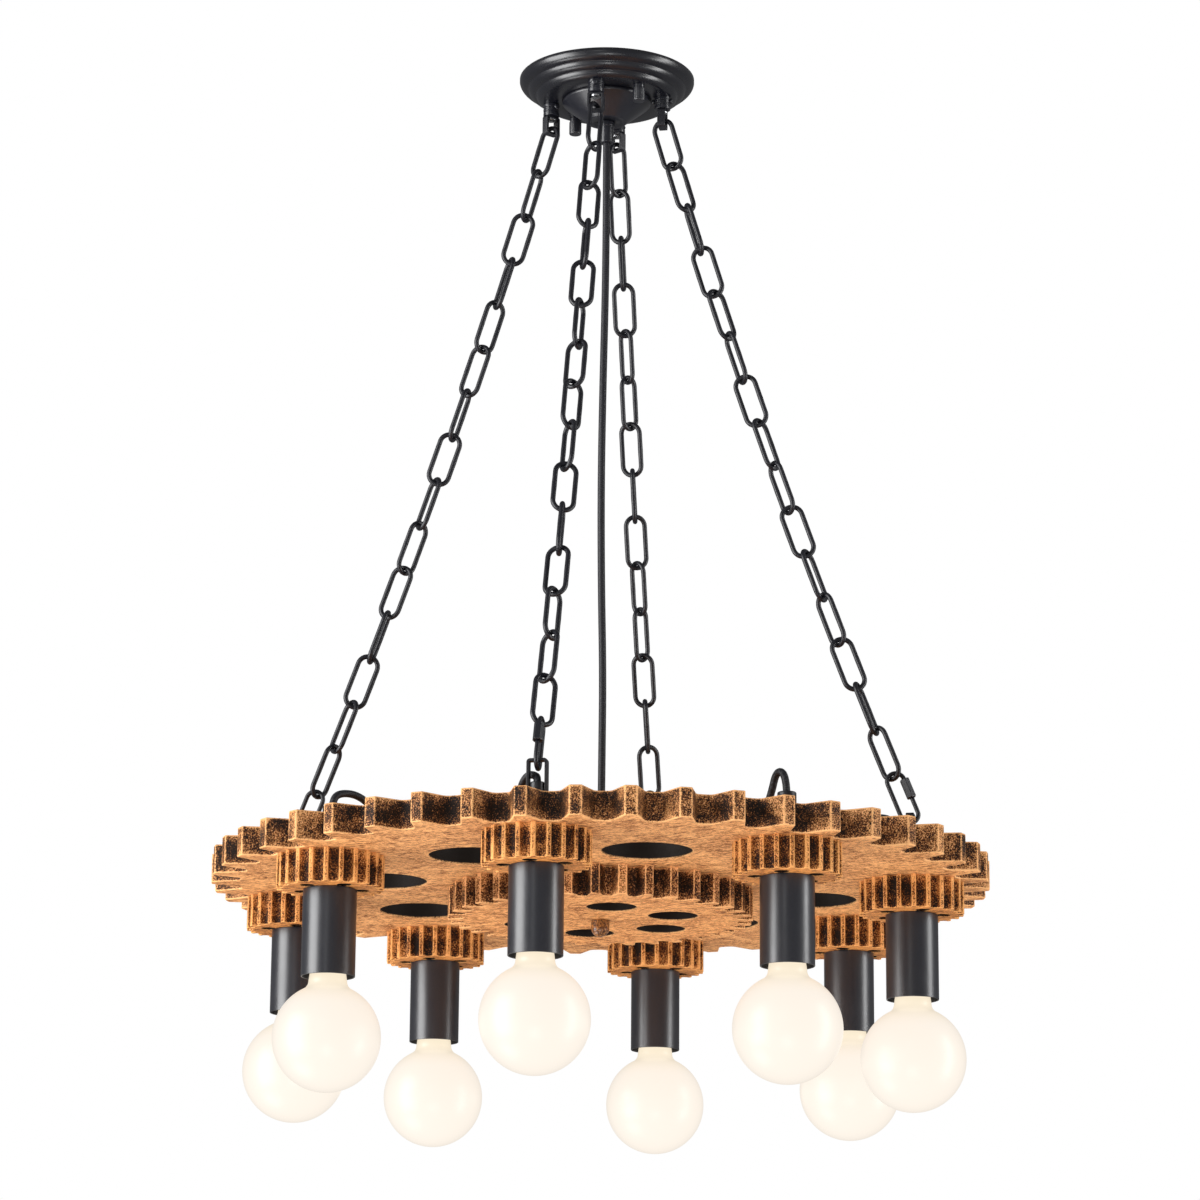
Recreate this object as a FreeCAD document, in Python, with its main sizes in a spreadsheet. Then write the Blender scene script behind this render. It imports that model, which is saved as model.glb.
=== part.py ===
import FreeCAD, Part
import math
import os
import re

import Sketcher
from FreeCAD import Placement, Rotation, Vector

# Gear chandelier hung from a ceiling canopy on four chains.
# Millimetres, +Z up, origin at the ceiling, on the middle axis of the canopy.

doc = FreeCAD.newDocument("gear_chandelier")

SIZES = {
    # ceiling bracket and the two screws that carry the canopy
    "bracket_length": 112,
    "bracket_width": 20,
    "bracket_thickness": 2,
    "bracket_step": 4,
    "bracket_step_start": 38,
    "bracket_slot_spacing": 60,
    "bracket_slot_length": 14,
    "bracket_slot_width": 4.6,
    "bracket_wire_hole": 12,
    "cap_nut_spacing": 92,
    "cap_nut_diameter": 10,
    "cap_nut_height": 14,
    "cap_nut_bore_depth": 10,
    "canopy_screw_diameter": 4,
    "canopy_screw_head": 7.6,
    "canopy_screw_head_height": 2.4,
    "canopy_screw_engagement": 8,
    # canopy, cone and cord grip
    "canopy_diameter": 142,
    "canopy_depth": 19,
    "canopy_lip": 3,
    "sheet_wall": 1.2,
    "cone_top_diameter": 72,
    "cone_bottom_diameter": 32,
    "cone_depth": 18,
    "cone_band": 2,
    "nipple_diameter": 10,
    "nipple_bore": 7,
    "nipple_above_face": 8,
    "nipple_into_grip": 7,
    "lock_nut_width": 14,
    "lock_nut_height": 3.6,
    "grip_diameter": 11.4,
    "grip_shoulder": 13,
    "grip_shoulder_height": 4,
    "grip_length": 18,
    "cord_diameter": 6,
    "cord_clearance": 0.3,
    # chain hangers under the canopy
    "hanger_gap": 0.9,
    "hanger_margin": 5,
    "hanger_collar_diameter": 13,
    "hanger_collar_height": 10,
    "hanger_groove_depth": 0.7,
    "hanger_groove_height": 1.1,
    "hanger_screw_diameter": 5,
    "hanger_screw_head": 8.6,
    "hanger_screw_head_height": 3,
    "hanger_nut_width": 8,
    "hanger_nut_height": 3.6,
    "collar_screw_diameter": 3,
    "collar_screw_head": 4.6,
    "collar_screw_head_height": 2.6,
    "collar_screw_depth": 3,
    "collar_screw_drop": 7,
    "hanger_loop_width": 13.4,
    "hanger_loop_height": 16,
    "hanger_loop_strap": 2,
    "hanger_loop_strap_width": 6.4,
    # chains and quick links
    "link_count": 15,
    "link_wire": 3.4,
    "link_inner_length": 38.58,
    "link_inner_width": 12.7,
    "chain_play": 0.2,
    "chain_sag": 8,
    "hook_play": 0.3,
    "quick_play": 0.35,
    "quick_wire": 3.5,
    "quick_inner_length": 38,
    "quick_inner_width": 10,
    "quick_gap": 5,
    "quick_gap_start": 9,
    "sleeve_nut_width": 6.8,
    "sleeve_nut_length": 16,
    "sleeve_nut_start": 7,
    # strap loops on the gear
    "gear_loop_width": 15.6,
    "gear_loop_height": 31.5,
    "gear_loop_strap": 2.2,
    "gear_loop_strap_width": 6,
    "gear_loop_base": 16,
    "gear_hook_play": 1.1,
    # large gear
    "gear_diameter": 600,
    "gear_teeth": 48,
    "gear_tooth_depth": 22,
    "gear_tip_land": 9,
    "gear_root_width": 11.4,
    "gear_root_radius": 5,
    "gear_thickness": 22,
    "gear_hole_diameter": 67,
    "gear_hole_circle": 340,
    # inner gear below it, with its bolt and finial
    "inner_diameter": 236,
    "inner_teeth": 36,
    "inner_tooth_depth": 12,
    "inner_tip_land": 6.4,
    "inner_root_width": 6.2,
    "inner_root_radius": 2.4,
    "inner_thickness": 23,
    "inner_hole_count": 6,
    "inner_hole_diameter": 38,
    "inner_hole_circle": 120,
    "inner_turn": 4,
    "bolt_diameter": 6,
    "bolt_head_width": 10,
    "bolt_head_height": 4,
    "bolt_into_finial": 8,
    "finial_diameter": 14.2,
    "finial_height": 13,
    "finial_edge_radius": 6,
    # lamps
    "lamp_count": 8,
    "lamp_circle": 483,
    "pinion_diameter": 80,
    "pinion_teeth": 22,
    "pinion_flute_radius": 4.05,
    "pinion_flute_depth": 5,
    "pinion_thickness": 25,
    "pinion_hole_count": 5,
    "pinion_hole_diameter": 11,
    "pinion_hole_circle": 47.2,
    "rod_diameter": 8,
    "rod_bore": 6,
    "rod_above_gear": 9,
    "rod_into_socket": 10,
    "rod_clearance": 0.1,
    "collar_diameter": 14,
    "collar_height": 16,
    "loop_collar_diameter": 10.8,
    "loop_collar_height": 12,
    "collar_edge_radius": 1.2,
    "shade_diameter": 40,
    "shade_wall": 1,
    "shade_length": 65,
    "socket_clearance": 0.3,
    "socket_mouth_recess": 4,
    "socket_bore_clearance": 0.05,
    "shell_bore_clearance": 0.4,
    "shell_wall": 0.5,
    "shell_recess": 2,
    "contact_diameter": 8,
    "contact_height": 1.5,
    "contact_gap": 0.3,
    # lamp bulbs
    "globe_diameter": 80,
    "globe_drop": 135.2,
    "globe_wall": 1,
    "neck_diameter": 28.4,
    "neck_blend_radius": 7,
    "base_diameter": 26.4,
    "base_wall": 0.6,
    "base_height": 24,
    "base_shoulder": 3,
    "base_tip_diameter": 9,
    "base_tip_height": 2.2,
    "base_recess": 4,
    # wiring cup on top of the gear
    "cup_diameter": 90,
    "cup_height": 26,
    "cup_flange": 7,
    "cup_edge_radius": 6,
    "cup_screw_diameter": 3,
    "cup_screw_head": 6,
    "cup_screw_head_height": 2.2,
    "cup_screw_depth": 9,
    "cup_screw_count": 4,
    "cup_gland_diameter": 14,
    "cup_gland_height": 14,
    "lead_diameter": 5.6,
    "lead_clearance": 0.3,
    "lead_height_at_cup": 6.5,
    # room between threaded pieces that stay put, and between pieces that turn or slide
    "thread_clearance": 0.05,
    "moving_clearance": 0.3,
}

# Sizes that follow from others: the hangers keep their side screws clear of the cone, and the
# canopy's flat face reaches past the hangers' screws.
FOLLOWING = {
    "hanger_circle": "cone_top_diameter + hanger_collar_diameter"
                     " + 2 * (collar_screw_head_height + hanger_gap)",
    "canopy_face_diameter": "hanger_circle + 2 * hanger_margin",
}

# Turn of the first link and turn from each link to the next, from tangential towards radial,
# the turn and the tip of the quick link (180 puts its nut at the lower end), and the turn of
# the strap loop at the canopy, in degrees.
CHAINS = {
    "back": {"angle": 45, "first": 125, "step": 71, "quick": 90, "tip": 0, "loop": 30},
    "left": {"angle": 135, "first": 118, "step": 70.5, "quick": 90, "tip": 180, "loop": 40},
    "front": {"angle": 225, "first": 112, "step": -75, "quick": 90, "tip": 0, "loop": 0},
    "right": {"angle": 315, "first": 108, "step": -63.0, "quick": 76, "tip": 0, "loop": 0},
}

# Lamp leads: distance in from the lamp's axis, sideways (anticlockwise seen from above),
# and height over the gear. Each ends inside the wiring cup.
LEAD_ROUTES = {
    "tight": [(0, 0, 9.2), (0, 0, 21), (5, 0.3, 32.5), (14, 0.6, 33), (20, 0.9, 19),
              (28, 1.5, 8), (46, 3, 4), (78, 5, 3.4), (122, 3, 3.6), (166, 1, 5), (200, 0, 6.5)],
    "wide": [(0, 0, 9.2), (0, 0, 21), (7, -0.4, 27), (22, -1, 27.5), (36, -2, 20),
             (48, -2.6, 9), (66, -3.5, 4), (94, -5, 3.4), (132, -4, 3.6), (168, -1.5, 5),
             (200, 0, 6.5)],
    "side": [(0, 0, 9.2), (0.2, 0, 16.8), (6.5, -2.5, 20.5), (10.5, -9, 22.5), (14, -14.5, 16.5),
             (20, -17, 8), (35, -17, 4), (64, -12, 3.4), (110, -6, 3.6), (160, -1.5, 5),
             (200, 0, 6.5)],
    "tall": [(0, 0, 9.2), (0.2, 0, 16.8), (8.5, 0.3, 20.2), (16, 0.8, 28.5), (28, 1.4, 30),
             (38, 2, 19), (47, 2.6, 8.5), (64, 3.5, 4), (92, 5, 3.4), (132, 4, 3.6),
             (168, 1.5, 5), (200, 0, 6.5)],
}
LAMP_LEADS = ["tight", "side", "wide", "tall", "wide", "side", "tight", "tall"]

# Turn of each pinion on its rod, in degrees.
PINION_TURNS = [5, 20, -8, 31, 14, 0, 26, 9]

# Main cord: side steps from the middle axis and height above the gear's upper face.
CORD_ROUTE = [(0, 0, 595), (0.3, -0.2, 540), (0.1, 0, 465), (-1.1, 0.8, 385), (-1.8, 1.2, 305),
              (-1.1, 0.8, 225), (0.4, -0.3, 150), (0.2, -0.1, 85), (0, 0, 31)]

CORD_BEND_SHARE = 0.45

sheet = doc.addObject("Spreadsheet::Sheet", "sizes")
cells = [(alias, str(number)) for alias, number in SIZES.items()]
cells += [(alias, "=" + formula) for alias, formula in FOLLOWING.items()]
for row, (alias, content) in enumerate(cells, start=1):
    sheet.set(f"A{row}", alias)
    sheet.set(f"B{row}", content)
    sheet.setAlias(f"B{row}", alias)
doc.recompute()

sub_parts = {}


def val(text):
    """The number that an expression of sheet names comes to."""
    return float(sheet.evalExpression(text))


def named(text):
    """The expression with each sheet name led by the sheet."""
    return re.sub(r"[a-z]+(?:_[a-z]+)+", r"sizes.\g<0>", text)


def polar(radius, angle, z=0.0):
    """The point at that radius, angle in degrees and height."""
    turn = math.radians(angle)
    return Vector(radius * math.cos(turn), radius * math.sin(turn), z)


def turned(radius, angle, z=0.0, extra=0.0):
    """A place on a circle about the middle axis, facing outwards, with an extra turn."""
    return Placement(polar(radius, angle, z), Rotation(Vector(0, 0, 1), angle + extra))


# Bodies, sketches and features


def body(label):
    solid = doc.addObject("PartDesign::Body", label)
    solid.Label = label
    return solid


def origin(owner, role):
    return next(f for f in owner.Origin.OriginFeatures if f.Role == role)


def sketch(owner, name, plane, lift=0.0):
    """A sketch on one of the body's own planes, lifted along the plane's normal."""
    drawing = owner.newObject("Sketcher::SketchObject", name)
    drawing.AttachmentSupport = [(origin(owner, plane), "")]
    drawing.MapMode = "FlatFace"
    drawing.AttachmentOffset = Placement(Vector(0, 0, lift), Rotation())
    return drawing


def limit(drawing, kind, where, text):
    """A size in a sketch that follows the sheet."""
    number = val(text)
    if number == 0 and kind in ("DistanceX", "DistanceY"):
        axis = -2 if kind == "DistanceX" else -1
        drawing.addConstraint(Sketcher.Constraint("PointOnObject", *where, axis))
        return
    index = drawing.addConstraint(Sketcher.Constraint(kind, *where, number))
    name = f"size{index}"
    drawing.renameConstraint(index, name)
    drawing.setExpression(f"Constraints.{name}", named(text))


def circle(drawing, x, y, radius):
    """A circle whose centre and radius follow the sheet."""
    index = drawing.addGeometry(Part.Circle(Vector(val(x), val(y), 0), Vector(0, 0, 1), val(radius)))
    limit(drawing, "DistanceX", (index, 3), x)
    limit(drawing, "DistanceY", (index, 3), y)
    limit(drawing, "Radius", (index,), radius)


def arc_between(start, end, radius, side):
    """The shorter arc between two points, with its centre to the left or right of the way."""
    way = end - start
    half = way.Length / 2
    across = Vector(-way.y, way.x, 0).normalize() * (1 if side == "left" else -1)
    centre = (start + end) / 2 + across * math.sqrt(max(radius * radius - half * half, 0.0))
    angles = [math.atan2(p.y - centre.y, p.x - centre.x) for p in (start, end)]
    if side == "right":
        angles.reverse()
    return Part.ArcOfCircle(Part.Circle(centre, Vector(0, 0, 1), radius), *angles)


def outline(drawing, corners, closed=True):
    """Lines and arcs through corners (x, y), or (x, y, radius, side) where an arc arrives."""
    points = [Vector(val(c[0]), val(c[1]), 0) for c in corners]
    count = len(corners) if closed else len(corners) - 1
    ends = []
    for i in range(count):
        j = (i + 1) % len(corners)
        if len(corners[j]) == 2:
            edge = drawing.addGeometry(Part.LineSegment(points[i], points[j]))
            ends.append((edge, 1, 2))
        else:
            radius, side = corners[j][2:]
            arc = arc_between(points[i], points[j], val(radius), side)
            edge = drawing.addGeometry(arc)
            ends.append((edge, 1, 2) if side == "left" else (edge, 2, 1))
    for i, (edge, first, last) in enumerate(ends):
        if i + 1 < count or closed:
            following = ends[(i + 1) % count]
            drawing.addConstraint(
                Sketcher.Constraint("Coincident", edge, last, following[0], following[1]))
    for i, corner in enumerate(corners):
        edge, spot = (ends[i][0], ends[i][1]) if i < count else (ends[-1][0], ends[-1][2])
        limit(drawing, "DistanceX", (edge, spot), corner[0])
        limit(drawing, "DistanceY", (edge, spot), corner[1])
    for i in range(count):
        arriving = corners[(i + 1) % len(corners)]
        if len(arriving) > 2:
            limit(drawing, "Radius", (ends[i][0],), arriving[2])


def pad(owner, drawing, length, both=False):
    feature = owner.newObject("PartDesign::Pad", drawing.Name + "_pad")
    feature.Profile = drawing
    feature.Length = val(length)
    feature.setExpression("Length", named(length))
    feature.Midplane = both
    doc.recompute()
    return feature


def pocket(owner, drawing, depth=None, upwards=True):
    """A cut along or against +Z, through the whole body where no depth is given."""
    before = owner.Shape.Volume
    feature = owner.newObject("PartDesign::Pocket", drawing.Name + "_cut")
    feature.Profile = drawing
    feature.Reversed = upwards
    if depth is None:
        feature.Type = "ThroughAll"
    else:
        feature.Length = val(depth)
        feature.setExpression("Length", named(depth))
    doc.recompute()
    if owner.Shape.Volume > before - 1e-6:
        raise RuntimeError(f"{feature.Name} cuts nothing")
    return feature


def polar_pattern(owner, feature, count):
    """Copies of a feature about the body's Z axis."""
    copies = owner.newObject("PartDesign::PolarPattern", feature.Name + "_ring")
    copies.Originals = [feature]
    copies.Axis = (origin(owner, "Z_Axis"), [""])
    copies.Angle = 360
    copies.Occurrences = int(val(count))
    copies.setExpression("Occurrences", named(count))
    owner.Tip = copies
    doc.recompute()
    return copies


def revolve(owner, drawing):
    """A solid turned about Z from an outline on the body's XZ plane."""
    feature = owner.newObject("PartDesign::Revolution", drawing.Name + "_turned")
    feature.Profile = drawing
    feature.ReferenceAxis = (drawing, ["V_Axis"])
    feature.Angle = 360
    doc.recompute()
    return feature


def turned_part(label, corners):
    """A body of revolution from its half section."""
    solid = body(label)
    drawing = sketch(solid, label + "_section", "XZ_Plane")
    outline(drawing, corners)
    revolve(solid, drawing)
    return solid


def dome(width, rise):
    """The radius of a dome of that width and rise."""
    return f"(({width})^2 / 4 + ({rise})^2) / (2 * ({rise}))"


def hexagon(drawing, width):
    """A hexagon of that width across its flats, centred on the sketch."""
    corner = f"({width}) / sqrt(3)"
    spots = [(1, 0), (0.5, 1), (-0.5, 1), (-1, 0), (-0.5, -1), (0.5, -1)]
    outline(drawing, [
        (f"{x} * {corner}", f"{y} * ({width}) / 2" if y else "0") for x, y in spots])


def part(label, source, place=None):
    """Names a finished piece and puts it in its place."""
    source.Label = label
    if place is not None:
        source.Placement = place
    sub_parts[label] = source


def copies(label, source, places):
    """A group of like pieces made from one, each in its own place."""
    group = doc.addObject("App::Link", label)
    group.Label = label
    group.LinkedObject = source
    group.ShowElement = False
    group.ElementCount = len(places)
    group.PlacementList = places
    sub_parts[label] = group


def together(label, *names):
    """Joins groups that make up one node."""
    group = doc.addObject("Part::Compound", label)
    group.Label = label
    group.Links = [sub_parts.pop(name) for name in names]
    sub_parts[label] = group


def copy(label, source, place):
    """One more piece like another."""
    twin = doc.addObject("App::Link", label)
    twin.Label = label
    twin.LinkedObject = source
    twin.LinkPlacement = place
    sub_parts[label] = twin


# Heights and places that follow from the sizes

canopy_face = -val("canopy_depth")
grip_top = canopy_face - val("cone_depth")
collar_foot = canopy_face - val("hanger_collar_height")
hanger_bar_top = collar_foot - val("hanger_loop_height") + val("hanger_loop_strap")
hanger_radius = val("hanger_circle") / 2
lamp_radius = val("lamp_circle") / 2
link_pitch = val("link_inner_length - chain_play")
quick_pitch = val("quick_inner_length - quick_play")
chain_run = val("link_count") * link_pitch + quick_pitch
chain_chord = chain_run - 8 * val("chain_sag") ** 2 / (3 * chain_run)


def hook_seat(end_radius, strap_width, lean, play):
    """How far a link's inner end lies past the middle of a flat bar that it hooks over."""
    half = strap_width / 2
    rise = end_radius - math.sqrt(end_radius ** 2 - (half * math.cos(lean)) ** 2)
    return half * math.sin(lean) + rise + play


chain_lean = math.asin((lamp_radius - hanger_radius) / chain_chord)
top_seat = hook_seat(val("link_inner_width / 2"), val("hanger_loop_strap_width"), chain_lean,
                     val("hook_play"))
foot_seat = hook_seat(val("quick_inner_width / 2"), val("gear_loop_strap_width"), chain_lean,
                      val("gear_hook_play"))
bar_distance = chain_chord - top_seat - foot_seat
chain_fall = math.sqrt(bar_distance ** 2 - (lamp_radius - hanger_radius) ** 2)
gear_bar_foot = hanger_bar_top - chain_fall
gear_top = gear_bar_foot - val("gear_loop_height - gear_loop_strap")
gear_foot = gear_top - val("gear_thickness")
lamp_angles = [360 / val("lamp_count") * n for n in range(int(val("lamp_count")))]
loop_angles = [chain["angle"] for chain in CHAINS.values()]


# Ceiling bracket: a joggled strip with two screw slots, a wire hole and two tapped ends


def ceiling_bracket():
    solid = body("ceiling_bracket")
    strip = sketch(solid, "bracket_strip", "YZ_Plane")
    step_end = "(bracket_step_start + bracket_step)"
    outline(strip, [
        ("-bracket_length / 2", "-bracket_step"),
        (f"-{step_end}", "-bracket_step"),
        ("-bracket_step_start", "0"),
        ("bracket_step_start", "0"),
        (step_end, "-bracket_step"),
        ("bracket_length / 2", "-bracket_step"),
        ("bracket_length / 2", "-bracket_step - bracket_thickness"),
        (step_end, "-bracket_step - bracket_thickness"),
        ("bracket_step_start", "-bracket_thickness"),
        ("-bracket_step_start", "-bracket_thickness"),
        (f"-{step_end}", "-bracket_step - bracket_thickness"),
        ("-bracket_length / 2", "-bracket_step - bracket_thickness"),
    ])
    pad(solid, strip, "bracket_width", both=True)
    holes = sketch(solid, "bracket_holes", "XY_Plane")
    circle(holes, "0", "0", "bracket_wire_hole / 2")
    for sign in ("", "-"):
        circle(holes, "0", f"{sign}cap_nut_spacing / 2", "canopy_screw_diameter / 2 + thread_clearance")
        near = f"{sign}(bracket_slot_spacing - bracket_slot_length + bracket_slot_width) / 2"
        far = f"{sign}(bracket_slot_spacing + bracket_slot_length - bracket_slot_width) / 2"
        half = "bracket_slot_width / 2"
        side = "right" if sign == "" else "left"
        outline(holes, [
            (f"-{half}", near, half, side),
            (f"-{half}", far),
            ("0", f"{sign}(bracket_slot_spacing + bracket_slot_length) / 2", half, side),
            (half, far, half, side),
            (half, near),
            ("0", f"{sign}(bracket_slot_spacing - bracket_slot_length) / 2", half, side),
        ])
    pocket(solid, holes, upwards=False)
    part("ceiling_bracket", solid)


def canopy_screws():
    """Screws through the bracket's ends, heads up, that the cap nuts pull the canopy up to."""
    radius = "canopy_screw_diameter / 2"
    foot = "-canopy_depth - canopy_screw_engagement"
    screw = turned_part("canopy_screw", [
        ("0", "-bracket_step + canopy_screw_head_height"),
        ("canopy_screw_head / 2", "-bracket_step + canopy_screw_head_height"),
        ("canopy_screw_head / 2", "-bracket_step"),
        (radius, "-bracket_step"),
        (radius, foot),
        ("0", foot),
    ])
    reach = val("cap_nut_spacing / 2")
    copies("canopy_screws", screw, [turned(reach, angle) for angle in (90, 270)])


def cap_nuts():
    """Blind nuts below the canopy."""
    bore = "canopy_screw_diameter / 2 + moving_clearance"
    foot = "-canopy_depth - cap_nut_height"
    nut = turned_part("cap_nut", [
        (bore, "-canopy_depth"),
        ("cap_nut_diameter / 2", "-canopy_depth"),
        ("cap_nut_diameter / 2", f"{foot} + 1"),
        ("cap_nut_diameter / 2 - 1", foot, "1", "right"),
        ("0", foot),
        ("0", "-canopy_depth - cap_nut_bore_depth"),
        (bore, "-canopy_depth - cap_nut_bore_depth"),
    ])
    reach = val("cap_nut_spacing / 2")
    copy("cap_nut_1", nut, turned(reach, 270))
    copy("cap_nut_2", nut, turned(reach, 90))


# Canopy: a spun dish of rounded rings with a flat face, and a cone below it


def canopy_shell():
    ring_step = "(canopy_diameter - canopy_face_diameter) / 6"
    ring_drop = "(canopy_depth - canopy_lip) / 3"
    ring_radius = f"(({ring_step})^2 + ({ring_drop})^2) / (2 * {ring_drop})"
    rim = "canopy_diameter / 2"
    outer = [(f"{rim} - {i} * {ring_step}", f"-canopy_lip - {i} * {ring_drop}") for i in range(4)]
    inner = [(f"{x} - sheet_wall", f"{y} + sheet_wall") for x, y in outer]
    hole = "nipple_diameter / 2 + thread_clearance"
    arcs = [(x, y, ring_radius, "right") for x, y in outer[1:]]
    back = [(x, y, ring_radius, "left") for x, y in reversed(inner[:-1])]
    shell = turned_part("canopy_shell", [
        (rim, "0"), outer[0], *arcs,
        (hole, "-canopy_depth"),
        (hole, "-canopy_depth + sheet_wall"),
        inner[-1], *back,
        (f"{rim} - sheet_wall", "0"),
    ])
    holes = sketch(shell, "canopy_holes", "XY_Plane")
    for angle in loop_angles:
        across, along = math.cos(math.radians(angle)), math.sin(math.radians(angle))
        circle(holes, f"{across:.6f} * hanger_circle / 2", f"{along:.6f} * hanger_circle / 2",
               "hanger_screw_diameter / 2 + rod_clearance")
    for sign in ("", "-"):
        circle(holes, "0", f"{sign}cap_nut_spacing / 2", "canopy_screw_diameter / 2 + rod_clearance")
    pocket(shell, holes, upwards=False)
    part("canopy_shell", shell)


def canopy_cone():
    top = "-canopy_depth"
    foot = "-canopy_depth - cone_depth"
    hole = "nipple_diameter / 2 + thread_clearance"
    cone = turned_part("canopy_cone", [
        ("cone_top_diameter / 2", top),
        ("cone_top_diameter / 2", f"{top} - cone_band"),
        ("cone_bottom_diameter / 2", foot),
        (hole, foot),
        (hole, f"{foot} + sheet_wall"),
        ("cone_bottom_diameter / 2 - sheet_wall", f"{foot} + sheet_wall"),
        ("cone_top_diameter / 2 - sheet_wall", f"{top} - cone_band"),
        ("cone_top_diameter / 2 - sheet_wall", top),
    ])
    part("canopy_cone", cone)


def centre_nipple():
    """Hollow threaded rod that clamps the cone and the grip to the canopy."""
    top = "-canopy_depth + nipple_above_face"
    foot = "-canopy_depth - cone_depth - nipple_into_grip"
    nipple = turned_part("centre_nipple", [
        ("nipple_bore / 2", top),
        ("nipple_diameter / 2", top),
        ("nipple_diameter / 2", foot),
        ("nipple_bore / 2", foot),
    ])
    part("centre_nipple", nipple)


def cord_grip():
    top = "-canopy_depth - cone_depth"
    seat = f"{top} - nipple_into_grip"
    shoulder = f"{top} - grip_shoulder_height"
    foot = f"{top} - grip_length"
    cord = "cord_diameter / 2 + cord_clearance"
    grip = turned_part("cord_grip", [
        ("nipple_diameter / 2 + thread_clearance", top),
        ("grip_shoulder / 2", top),
        ("grip_shoulder / 2", shoulder),
        ("grip_diameter / 2", shoulder),
        ("grip_diameter / 2", foot),
        (cord, foot),
        (cord, seat),
        ("nipple_diameter / 2 + thread_clearance", seat),
    ])
    part("cord_grip", grip)


def hex_nut(label, width, bore, height):
    nut = body(label)
    drawing = sketch(nut, label + "_outline", "XY_Plane")
    hexagon(drawing, width)
    circle(drawing, "0", "0", bore)
    pad(nut, drawing, height)
    return nut


def canopy_nuts():
    """Nuts inside the canopy: one on the nipple and one on each hanger screw."""
    inside = val("-canopy_depth + sheet_wall")
    big = hex_nut("nipple_nut", "lock_nut_width", "nipple_diameter / 2 + thread_clearance",
                  "lock_nut_height")
    part("nipple_nut", big, Placement(Vector(0, 0, inside), Rotation()))
    small = hex_nut("hanger_nut", "hanger_nut_width",
                    "hanger_screw_diameter / 2 + thread_clearance", "hanger_nut_height")
    flat_outwards = 360 / 12
    copies("hanger_nuts", small, [
        turned(hanger_radius, a, inside, flat_outwards) for a in loop_angles])
    together("canopy_lock_nuts", "nipple_nut", "hanger_nuts")


# Chain hangers: ridged collar, screw and strap loop


def hanger_collars():
    edge = "hanger_collar_diameter / 2"
    waist = f"{edge} - hanger_groove_depth"
    bore = "hanger_screw_diameter / 2 + rod_clearance"
    corners = [(bore, "0"), (bore, "-hanger_collar_height"), (edge, "-hanger_collar_height")]
    for ridge in range(3):
        low = f"-hanger_collar_height + {ridge + 1} * 1.6 * hanger_groove_height"
        corners += [(edge, low), (waist, low), (waist, f"{low} + 0.7 * hanger_groove_height"),
                    (edge, f"{low} + 0.7 * hanger_groove_height")]
    corners.append((edge, "0"))
    collar = turned_part("hanger_collar", corners)
    holes = sketch(collar, "collar_screw_holes", "YZ_Plane")
    circle(holes, "0", "-hanger_collar_height + collar_screw_drop",
           "collar_screw_diameter / 2 + thread_clearance")
    cut = collar.newObject("PartDesign::Pocket", "collar_screw_cut")
    cut.Profile = holes
    cut.Type = "ThroughAll"
    cut.Midplane = True
    doc.recompute()
    copies("hanger_collars", collar, [
        turned(hanger_radius, c["angle"], canopy_face, -c["loop"]) for c in CHAINS.values()])


def collar_screws():
    """Small domed screws in the two sides of each collar."""
    face = "hanger_collar_diameter / 2"
    screw = turned_part("collar_screw", [
        ("0", f"{face} - collar_screw_depth"),
        ("collar_screw_diameter / 2", f"{face} - collar_screw_depth"),
        ("collar_screw_diameter / 2", f"{face} + 0.1"),
        ("collar_screw_head / 2", f"{face} + 0.1"),
        ("collar_screw_head / 2", f"{face} + collar_screw_head_height / 2"),
        ("0", f"{face} + collar_screw_head_height",
         dome("collar_screw_head", "collar_screw_head_height / 2"), "left"),
    ])
    height = val("-hanger_collar_height + collar_screw_drop") + canopy_face
    lie = Rotation(Vector(0, 0, 1), Vector(1, 0, 0))
    places = []
    for chain in CHAINS.values():
        for side in (0, 180):
            hub = turned(hanger_radius, chain["angle"], height, side - chain["loop"])
            places.append(hub * Placement(Vector(), lie))
    copies("collar_screws", screw, places)


def hanger_screws():
    """Screws with domed heads inside the strap loops."""
    head_top = "-hanger_collar_height - hanger_loop_strap"
    top = "sheet_wall + hanger_nut_height + 1"
    screw = turned_part("hanger_screw", [
        ("0", top),
        ("hanger_screw_diameter / 2", top),
        ("hanger_screw_diameter / 2", head_top),
        ("hanger_screw_head / 2", head_top),
        ("hanger_screw_head / 2", f"{head_top} - hanger_screw_head_height / 2"),
        ("0", f"{head_top} - hanger_screw_head_height",
         dome("hanger_screw_head", "hanger_screw_head_height / 2"), "right"),
    ])
    copies("hanger_screws", screw, [turned(hanger_radius, a, canopy_face) for a in loop_angles])


def strap_loop(label, width, height, strap, strap_width):
    """A closed rectangular loop of flat strap, standing on z = 0, its bars along Y."""
    loop = body(label)
    drawing = sketch(loop, label + "_frame", "YZ_Plane")
    for gap in ("0", strap):
        side = f"({width}) / 2 - {gap}"
        outline(drawing, [(f"-({side})", gap), (side, gap),
                          (side, f"{height} - {gap}"), (f"-({side})", f"{height} - {gap}")])
    pad(loop, drawing, strap_width, both=True)
    return loop


def hanger_loops():
    loop = strap_loop("hanger_loop", "hanger_loop_width", "hanger_loop_height",
                      "hanger_loop_strap", "hanger_loop_strap_width")
    hole = sketch(loop, "hanger_loop_hole", "XY_Plane", val("hanger_loop_height"))
    hole.setExpression("AttachmentOffset.Base.z", named("hanger_loop_height"))
    circle(hole, "0", "0", "hanger_screw_diameter / 2 + moving_clearance")
    pocket(loop, hole, "hanger_loop_strap", upwards=False)
    foot = collar_foot - val("hanger_loop_height")
    for name, chain in CHAINS.items():
        copy(f"hanger_loop_{name}", loop,
             turned(hanger_radius, chain["angle"], foot, -chain["loop"]))


# Chains: oval wire links, each turned on the last, and a quick link with a sleeve nut


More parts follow.
